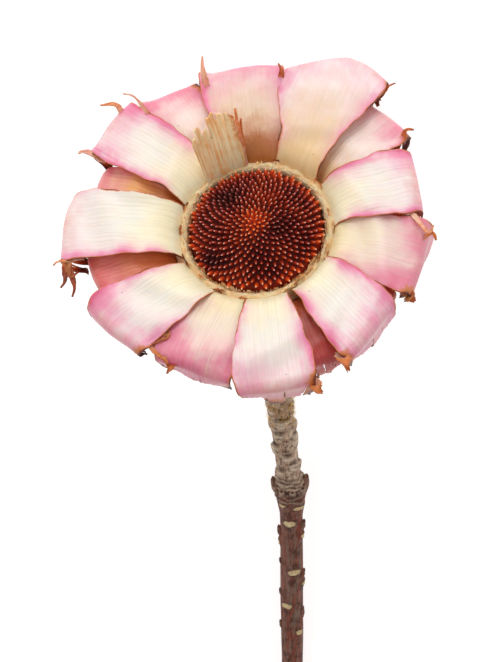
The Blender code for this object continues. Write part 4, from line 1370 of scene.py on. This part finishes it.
# %% [markdown]
# Each leaf sat on a cushion of bark that swells towards the head and ends in a pale lip, with a cleft over it
# that is painted dark as its shadow. Above the collar the cushions crowd and overlap, which makes the twig
# knobbly. Below it they are far apart, and each one carries a pale lens, the scar of the leaf, with a small
# dark bud over the scar and a ring of painted shadow round it.

# %% Stumps of leaves
COLLAR_DISTANCE = 83.0 * MM
COLLAR_LEAF_BASES = 9
DENSE_LEAF_BASES = 26
LEAF_BASE_LENGTH = 5.4 * MM
LEAF_BASE_WIDTH = 4.4 * MM
LEAF_BASE_LEAN = 0.35
STUMP_SIDES = 16
SMALL_PADS = 46
STUMP_SLANT = 0.75
OLD_BARK = (78 * MM, 88 * MM)
# Level along the stump, width, thickness, depth of the dish in millimetres, paleness and shadow at each ring
STUMP_PROFILE = (
    (-0.5, 0.75, 0.2, 0.0, 0.0, 0.3), (-0.3, 0.92, 0.42, 0.0, 0.0, 0.0),
    (-0.05, 0.92, 0.58, 0.0, 0.1, 0.0), (0.2, 0.86, 0.62, 0.0, 0.3, 0.0),
    (0.36, 0.76, 0.54, 0.0, 0.8, 0.0), (0.43, 0.62, 0.42, 0.0, 0.9, 0.0),
    (0.42, 0.46, 0.28, 0.15, 0.2, 0.6), (0.4, 0.16, 0.1, 0.25, 0.0, 0.9),
)
# Distance in millimetres, angle and size of the buds at and below the collar. An angle of 90 faces upward.
BUDS = (
    (83.0, 182, 1.15), (82.4, 0, 1.2), (96.5, 22, 0.85), (99.5, 180, 0.8), (105.9, 275, 0.8),
    (110.0, 168, 0.45), (114.6, 8, 0.7), (121.5, 166, 0.6), (130.3, 327, 0.8), (134.0, 176, 0.6),
    (138.5, 250, 0.8), (146.6, 105, 0.75), (154.8, 242, 0.8), (163.0, 20, 0.85), (171.1, 158, 0.75),
    (179.3, 295, 0.8), (187.4, 73, 0.8),
)


def leaf_base_places():
    """Distance along the stem, angle round it and size of each leaf stump above the collar."""
    rng = random.Random(3)
    crowded = COLLAR_DISTANCE * 0.97 / DENSE_LEAF_BASES
    for index in range(DENSE_LEAF_BASES):
        yield (index + 0.5) * crowded, index * GOLDEN_ANGLE, rng.uniform(0.75, 0.95)


def small_pad_places():
    """The cushions that the solid leaves out, crowded from the neck to the collar."""
    rng = random.Random(31)
    for index in range(SMALL_PADS):
        distance = (3 + 76 * (index + 0.5) / SMALL_PADS) * MM
        yield distance, index * GOLDEN_ANGLE + 1.1, rng.uniform(0.7, 0.95)


def stem_place(distance, angle):
    """Centre of the stem at a distance from the head, the way along it, and the way out at an angle."""
    ring = int(np.clip(round(distance / distances[-1] * STEM_RINGS), 1, STEM_RINGS - 1))
    outward = first_side[ring] * math.cos(angle) + second_side[ring] * math.sin(angle)
    return line[ring], along[ring], outward


def add_stump(stem, rng, distance, angle, size, bud):
    """Stump rising from the bark towards the head: cut slantwise, or with bud at 1 a pointed dark bud."""
    point, direction, outward = stem_place(distance, angle)
    across = np.cross(direction, outward)
    tip = outward * LEAF_BASE_LEAN - direction
    tip /= np.linalg.norm(tip)
    flat = np.cross(across, tip)
    flat *= np.sign(flat.dot(outward))
    foot = point + outward * stem_radius(distance)
    turn = circle(STUMP_SIDES)
    rings, shown = [], []
    for level, width, thick, dish, lip, hollow in STUMP_PROFILE:
        uneven = 1 + 0.09 * np.sin(3 * turn + 6 * rng.random())
        narrow = 1 - 0.5 * bud * float(smooth(level, -0.3, 0.44))
        x = np.cos(turn) * LEAF_BASE_WIDTH / 2 * size * width * uneven * narrow
        y = np.sin(turn) * LEAF_BASE_WIDTH / 2 * size * thick * uneven * narrow
        slant = STUMP_SLANT * np.maximum(y, -0.2 * MM) * float(smooth(level, 0.0, 0.42))
        z = LEAF_BASE_LENGTH * size * level - slant - dish * MM
        rings.append(foot + x[:, None] * across + y[:, None] * flat + z[:, None] * tip)
        shadow = hollow * max(0.0, 1 - 2.5 * bud)
        shown.append((lip * (1 - bud), shadow, bud * float(smooth(level, -0.2, 0.3))))
    quads = grid_quads(len(STUMP_PROFILE) - 1, STUMP_SIDES, closed=True)[:, ::-1].tolist()
    cap = [(len(STUMP_PROFILE) - 1) * STUMP_SIDES + k for k in reversed(range(STUMP_SIDES))]
    painted = dict(zip(("lip", "hollow", "bud"), np.repeat(shown, STUMP_SIDES, axis=0).T))
    stem.add(np.array(rings), quads + [cap], old=smooth(distance, *OLD_BARK), scar=0.0, **painted)


print("stumps of leaves:", len(list(leaf_base_places())), "and buds:", len(BUDS))

# %% Bark relief and the finished stem
FURROW_DEPTH = 0.1 * MM
# Furrows round the stem, and the length in millimetres over which they wind
FURROWS = ((5, 31), (8, 23), (13, 17), (19, 11))
PAD_LENGTH = 5.0 * MM
PAD_WIDTH = 5.4 * MM
PAD_HEIGHT = 1.1 * MM
PAD_SHARPNESS = 3.5
PAD_STEM_RADIUS = 3.4 * MM
COLLAR_RINGS = (79.6, 80.9, 82.2, 83.6, 85.0, 86.5)
COLLAR_HEIGHT = 0.5 * MM
LENS_STEM_RADIUS = 3.5
STUMP_SHARE = 0.8
# Distance, angle, length and width in millimetres of the pale lenses
LENS_SCARS = (
    (87.6, 124, 1.2, 1.9), (88.6, 56, 1.5, 3.0), (94.3, 98, 2.1, 3.5), (99.8, 24, 1.6, 2.4),
    (103.0, 176, 1.5, 2.2), (112.2, 75, 2.1, 3.9), (117.8, 8, 1.6, 2.6), (124.8, 115, 2.0, 3.3),
    (134.9, 50, 1.9, 2.4), (141.5, 250, 1.8, 3.0), (149.6, 105, 1.9, 3.2), (166.0, 20, 1.8, 3.0),
    (174.2, 158, 1.9, 3.2), (190.4, 73, 1.9, 3.4),
)


def round_stem(turn, around):
    """Angle between two places round the stem, from -pi to pi."""
    return (turn - around + np.pi) % (2 * np.pi) - np.pi


def leaf_pad(distance, turn, place, around, size):
    """Relief, pale lip and the painted shadow in the cleft over one cushion, as shares of its full height."""
    level = (place + 0.5 * PAD_LENGTH * size - distance) / (PAD_LENGTH * size)
    half = PAD_WIDTH * size / 2 * (1 - 0.3 * smooth(level, 0.3, 1.0)) / PAD_STEM_RADIUS
    window = np.exp(-(np.abs(round_stem(turn, around) / half) ** PAD_SHARPNESS))
    rise = smooth(level, -0.1, 0.85) * (1 - smooth(level, 0.96, 1.12))
    return window * rise, window * bell(level - 0.9, 0.11), window * bell(level - 1.15, 0.12)


def make_stem():
    rng = random.Random(17)
    angle = circle(STEM_SIDES)
    distance = distances[:, None] + 0 * angle
    turn = angle + 0 * distance
    wave = 1 + STEM_WAVE * np.sin(distance / (9 * MM) - 2 * turn)
    relief, lip, hollow, scar, bud = (np.zeros_like(distance) for _ in range(5))
    for place, around, size in (*small_pad_places(), *leaf_base_places()):
        # The cleft over each cushion gets painted shadow in hollow
        rise, pale, crevice_shade = leaf_pad(distance, turn, place, around, size)
        over = rise * size * PAD_HEIGHT > relief
        lip = np.where(over, lip * (1 - smooth(rise, 0.0, 0.4)), lip) + pale
        hollow = hollow * (1 - smooth(rise, 0.0, 0.4) * over) + crevice_shade * (relief < 0.6 * PAD_HEIGHT)
        relief = np.maximum(relief, rise * size * PAD_HEIGHT)
    for lobes, length in FURROWS:
        phase = 1.3 * np.sin(distance / (length * MM) + rng.random() * 6) + rng.random() * 6
        swell = 0.5 + 0.5 * np.sin(distance / (length * 0.37 * MM))
        relief += FURROW_DEPTH * np.sin(lobes * turn + phase) * swell
    for place in COLLAR_RINGS:
        shifted = distance - place * MM - 0.3 * MM * np.sin(3 * turn + place)
        shifted = shifted - 0.15 * MM * np.sin(7 * turn - place)
        ragged = 0.75 + 0.35 * np.sin(5 * turn + 2 * place)
        relief += COLLAR_HEIGHT * ragged * bell(shifted, 0.36 * MM)
        lip += 0.35 * bell(shifted + 0.1 * MM, 0.25 * MM)
        # Painted shadow in the groove beside each ring
        hollow += 0.75 * bell(shifted + 0.62 * MM, 0.26 * MM)
    for place, around, long, wide in LENS_SCARS:
        apart = round_stem(turn, math.radians(around)) * LENS_STEM_RADIUS
        ahead = (distance - place * MM) / MM
        reach = np.sqrt((ahead / (long / 2)) ** 2 + (apart / (wide / 2)) ** 2)
        spread = np.sqrt((ahead / (long * 0.95)) ** 2 + (apart / (wide * 0.62)) ** 2)
        over = np.sqrt(((ahead + long * 0.85) / 0.6) ** 2 + (apart / 0.8) ** 2)
        scar = np.maximum(scar, 1 - smooth(reach, 0.8, 1.1))
        bud = np.maximum(bud, 0.8 * bell(over, 1))
        relief += 0.6 * MM * bell(spread, 1) + 0.16 * MM * bell(reach - 0.95, 0.2)
        relief += 0.4 * MM * bell(over, 1)
        # Painted shadow in a ring round each lens scar
        hollow += 0.55 * bell(reach - 1.35, 0.16)
    radius = stem_radius(distance) * wave + relief
    outward = np.cos(turn)[..., None] * first_side[:, None] + np.sin(turn)[..., None] * second_side[:, None]
    points = line[:, None] + outward * radius[..., None]
    stem = Collector()
    painted = {"old": smooth(distance, *OLD_BARK), "scar": scar, "bud": bud}
    painted.update(hollow=np.clip(hollow, 0, 1), lip=np.clip(lip, 0, 1))
    stem.add(points, grid_quads(STEM_RINGS, STEM_SIDES, closed=True)[:, ::-1], **painted)
    for place, around, size in leaf_base_places():
        add_stump(stem, rng, place, around, size * STUMP_SHARE, 0.0)
    for index in range(COLLAR_LEAF_BASES):
        around = 2 * math.pi * index / COLLAR_LEAF_BASES
        facing = max(0.0, math.sin(around))
        add_stump(stem, rng, COLLAR_DISTANCE + 0.6 * MM, around, 0.95 - 0.35 * facing, 0.85 - 0.5 * facing)
    for place, around, size in BUDS:
        add_stump(stem, rng, place * MM, math.radians(around), size, 0.9)
    return stem.build("stem_bark", FLOWER, [bark_fine], "bark", "stem")


stem_piece = make_stem()
print("stem:", len(stem_piece.data.polygons), "faces")

# %% [markdown]
# From the neck down, the young part of the twig wears golden fuzz. It is short hair again, dense under the
# head and denser on the upper side, and it thins out towards the collar.

# %% Fuzz at the neck
FUZZ_HAIRS = 4200
FUZZ_START = 1.0 * MM
FUZZ_END = 60.5 * MM
FUZZ_RADIUS = 0.06 * MM
FUZZ_LIFT = 0.25 * MM
FUZZ_THINNING = 1.15


def fuzz_finish():
    finish = Finish("golden_fuzz", "piece", Specular_IOR_Level=0.3, **TRANSLUCENT)
    grain = finish.mottle(0.4)
    colour = finish.mottle(1.6).ramp((0.0, (168, 104, 30)), (0.45, (246, 184, 58)), (1.0, (255, 244, 206)))
    return finish.end(colour, grain * 0.2 + 0.6, grain, 0.02)


rng = random.Random(41)
fuzz = Collector()
for _ in range(FUZZ_HAIRS):
    distance = FUZZ_START + (FUZZ_END - FUZZ_START) * rng.random() ** FUZZ_THINNING
    point, direction, outward = stem_place(distance, math.radians(rng.gauss(96, 70)))
    root = point + outward * (stem_radius(distance) + FUZZ_LIFT)
    lean = outward * rng.uniform(0.35, 0.9) - direction * rng.uniform(0.1, 0.9)
    lean = lean + np.cross(direction, outward) * rng.gauss(0, 0.35)
    fuzz.add(*hair(root, lean, rng.uniform(0.9, 2.0) * MM, FUZZ_RADIUS))
fuzz.build("fuzz_at_the_neck", FLOWER, [fuzz_finish()], "bark")
print("hairs at the neck:", FUZZ_HAIRS)

# %% [markdown]
# ## The cut end
# The twig was cut with shears, so its end shows pale wood with a dark pith and a rim of bark. A flat cap would
# be enough from far away. Here the cap is a set of rings with small saw-like ridges, and the colour follows
# the share of the radius.

# %% Cut wood
CUT_RINGS = 10
RIDGE_HEIGHT = 0.12 * MM
CUT_BULGE = 0.1 * MM
# Share of the radius and colour there, from the pith to the bark
WOOD_COLOURS = (
    (0.0, (120, 84, 52)), (0.16, (150, 108, 66)), (0.24, (214, 182, 132)), (0.8, (196, 160, 112)),
    (0.9, (120, 82, 54)), (1.0, (84, 54, 42)),
)


def wood_finish():
    finish = Finish("cut_wood", "piece", Specular_IOR_Level=0.3)
    grain = finish.mottle(0.35)
    colour = finish.read("share").ramp(*WOOD_COLOURS).mixed(grain * 0.4, (150, 112, 74), "MULTIPLY")
    return finish.end(colour, grain * 0.2 + 0.65, grain, 0.1)


angle = circle(STEM_SIDES)
share = np.linspace(0.02, 1.0, CUT_RINGS)[:, None] + 0 * angle
radius = stem_radius(distances[-1]) * share
outward = np.cos(angle)[:, None] * first_side[-1] + np.sin(angle)[:, None] * second_side[-1]
ridges = waves(random.Random(19), radius * np.cos(angle - 0.7), (1.1 * MM, 0.7 * MM)) * (1 - share**6)
raised = RIDGE_HEIGHT * ridges + CUT_BULGE * (1 - share**8)
cut = Collector()
points = line[-1] + outward * radius[..., None] + along[-1] * raised[..., None]
cut.add(points, grid_quads(CUT_RINGS - 1, STEM_SIDES, closed=True), share=share)
cut_end = cut.build("stem_cut_end", FLOWER, [wood_finish()], "bark")
print("cut end:", len(cut_end.data.polygons), "faces")

# %% [markdown]
# ## Camera, light and floor
# The camera keeps the place it has in the frame of the flower, so it leans with it: it looks down on the lying
# flower, straight enough into the face to show the whole disc. The light is soft and strong, as in a picture
# for a catalogue: a large lamp beyond the top edge of the picture, a weaker one on each side of the camera,
# and a bright surrounding that fills the shadows.

# %% Camera
CAMERA_ELEVATION = math.radians(60)
CAMERA_DISTANCE = 0.8
CAMERA_LENS = 167.0
CAMERA_SENSOR = 36.0
TARGET_RIGHT = -1.2 * MM
TARGET_UP = -26.5 * MM

camera_back = flower_turn @ Vector((0, math.cos(CAMERA_ELEVATION), math.sin(CAMERA_ELEVATION)))
camera_up = flower_turn @ Vector((0, math.sin(CAMERA_ELEVATION), -math.cos(CAMERA_ELEVATION)))
camera_right = camera_up.cross(camera_back)
target = disc_centre + camera_right * TARGET_RIGHT + camera_up * TARGET_UP
camera = bpy.data.objects.new("camera", bpy.data.cameras.new("camera"))
bpy.context.scene.collection.objects.link(camera)
turn = Matrix((camera_right, camera_up, camera_back)).transposed().to_4x4()
camera.matrix_world = Matrix.Translation(target + camera_back * CAMERA_DISTANCE) @ turn
camera.data.sensor_fit = "AUTO"
camera.data.sensor_width = CAMERA_SENSOR
camera.data.lens = CAMERA_LENS
bpy.context.scene.camera = camera
print("camera at", [round(x, 3) for x in camera.location])

# %% Light and floor
# Name, place (right, up and back of the head, as the camera sees it), size and energy
LAMPS = (
    ("key", (-0.15, 0.68, 0.72), 0.42, 3.1),
    ("right", (0.55, 0.0, 0.9), 0.45, 1.3),
    ("left", (-0.6, 0.05, 0.85), 0.45, 1.5),
)
WORLD_COLOUR = (1.0, 0.99, 0.98, 1.0)
WORLD_STRENGTH = 0.5
FLOOR_GREY = 0.84
FLOOR_GLOW = 0.62
FLOOR_HALF = 4

for name, (right, up, back), size, energy in LAMPS:
    lamp = bpy.data.objects.new(name, bpy.data.lights.new(name, "AREA"))
    bpy.context.scene.collection.objects.link(lamp)
    lamp.data.size = size
    lamp.data.energy = energy
    lamp.location = disc_centre + camera_right * right + camera_up * up + camera_back * back
    lamp.rotation_euler = (disc_centre - lamp.location).to_track_quat("-Z", "Y").to_euler()

world = bpy.data.worlds.new("surrounding")
world.use_nodes = True
world.node_tree.nodes["Background"].inputs[0].default_value = WORLD_COLOUR
world.node_tree.nodes["Background"].inputs[1].default_value = WORLD_STRENGTH
bpy.context.scene.world = world
bpy.context.scene.view_settings.view_transform = "Standard"

floor_mesh = bpy.data.meshes.new("floor")
corners = [(x * FLOOR_HALF, y * FLOOR_HALF, 0) for x, y in ((-1, -1), (1, -1), (1, 1), (-1, 1))]
floor_mesh.from_pydata(corners, [], [(0, 1, 2, 3)])
floor = bpy.data.objects.new("floor", floor_mesh)
bpy.context.scene.collection.objects.link(floor)
white = Finish("floor_white", Roughness=0.9, Specular_IOR_Level=0.1, Base_Color=(*[FLOOR_GREY] * 3, 1.0),
               Emission_Color=(1.0,) * 4, Emission_Strength=FLOOR_GLOW)
floor_mesh.materials.append(white.material)
floor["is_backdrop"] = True
print("lamps, surrounding and floor ready")

# %% Sizes and the end
visual_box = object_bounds()
for name, box in (("solids", cad_box), ("pieces", visual_box)):
    print(name, [round(c / MM, 1) for corner in box for c in corner])
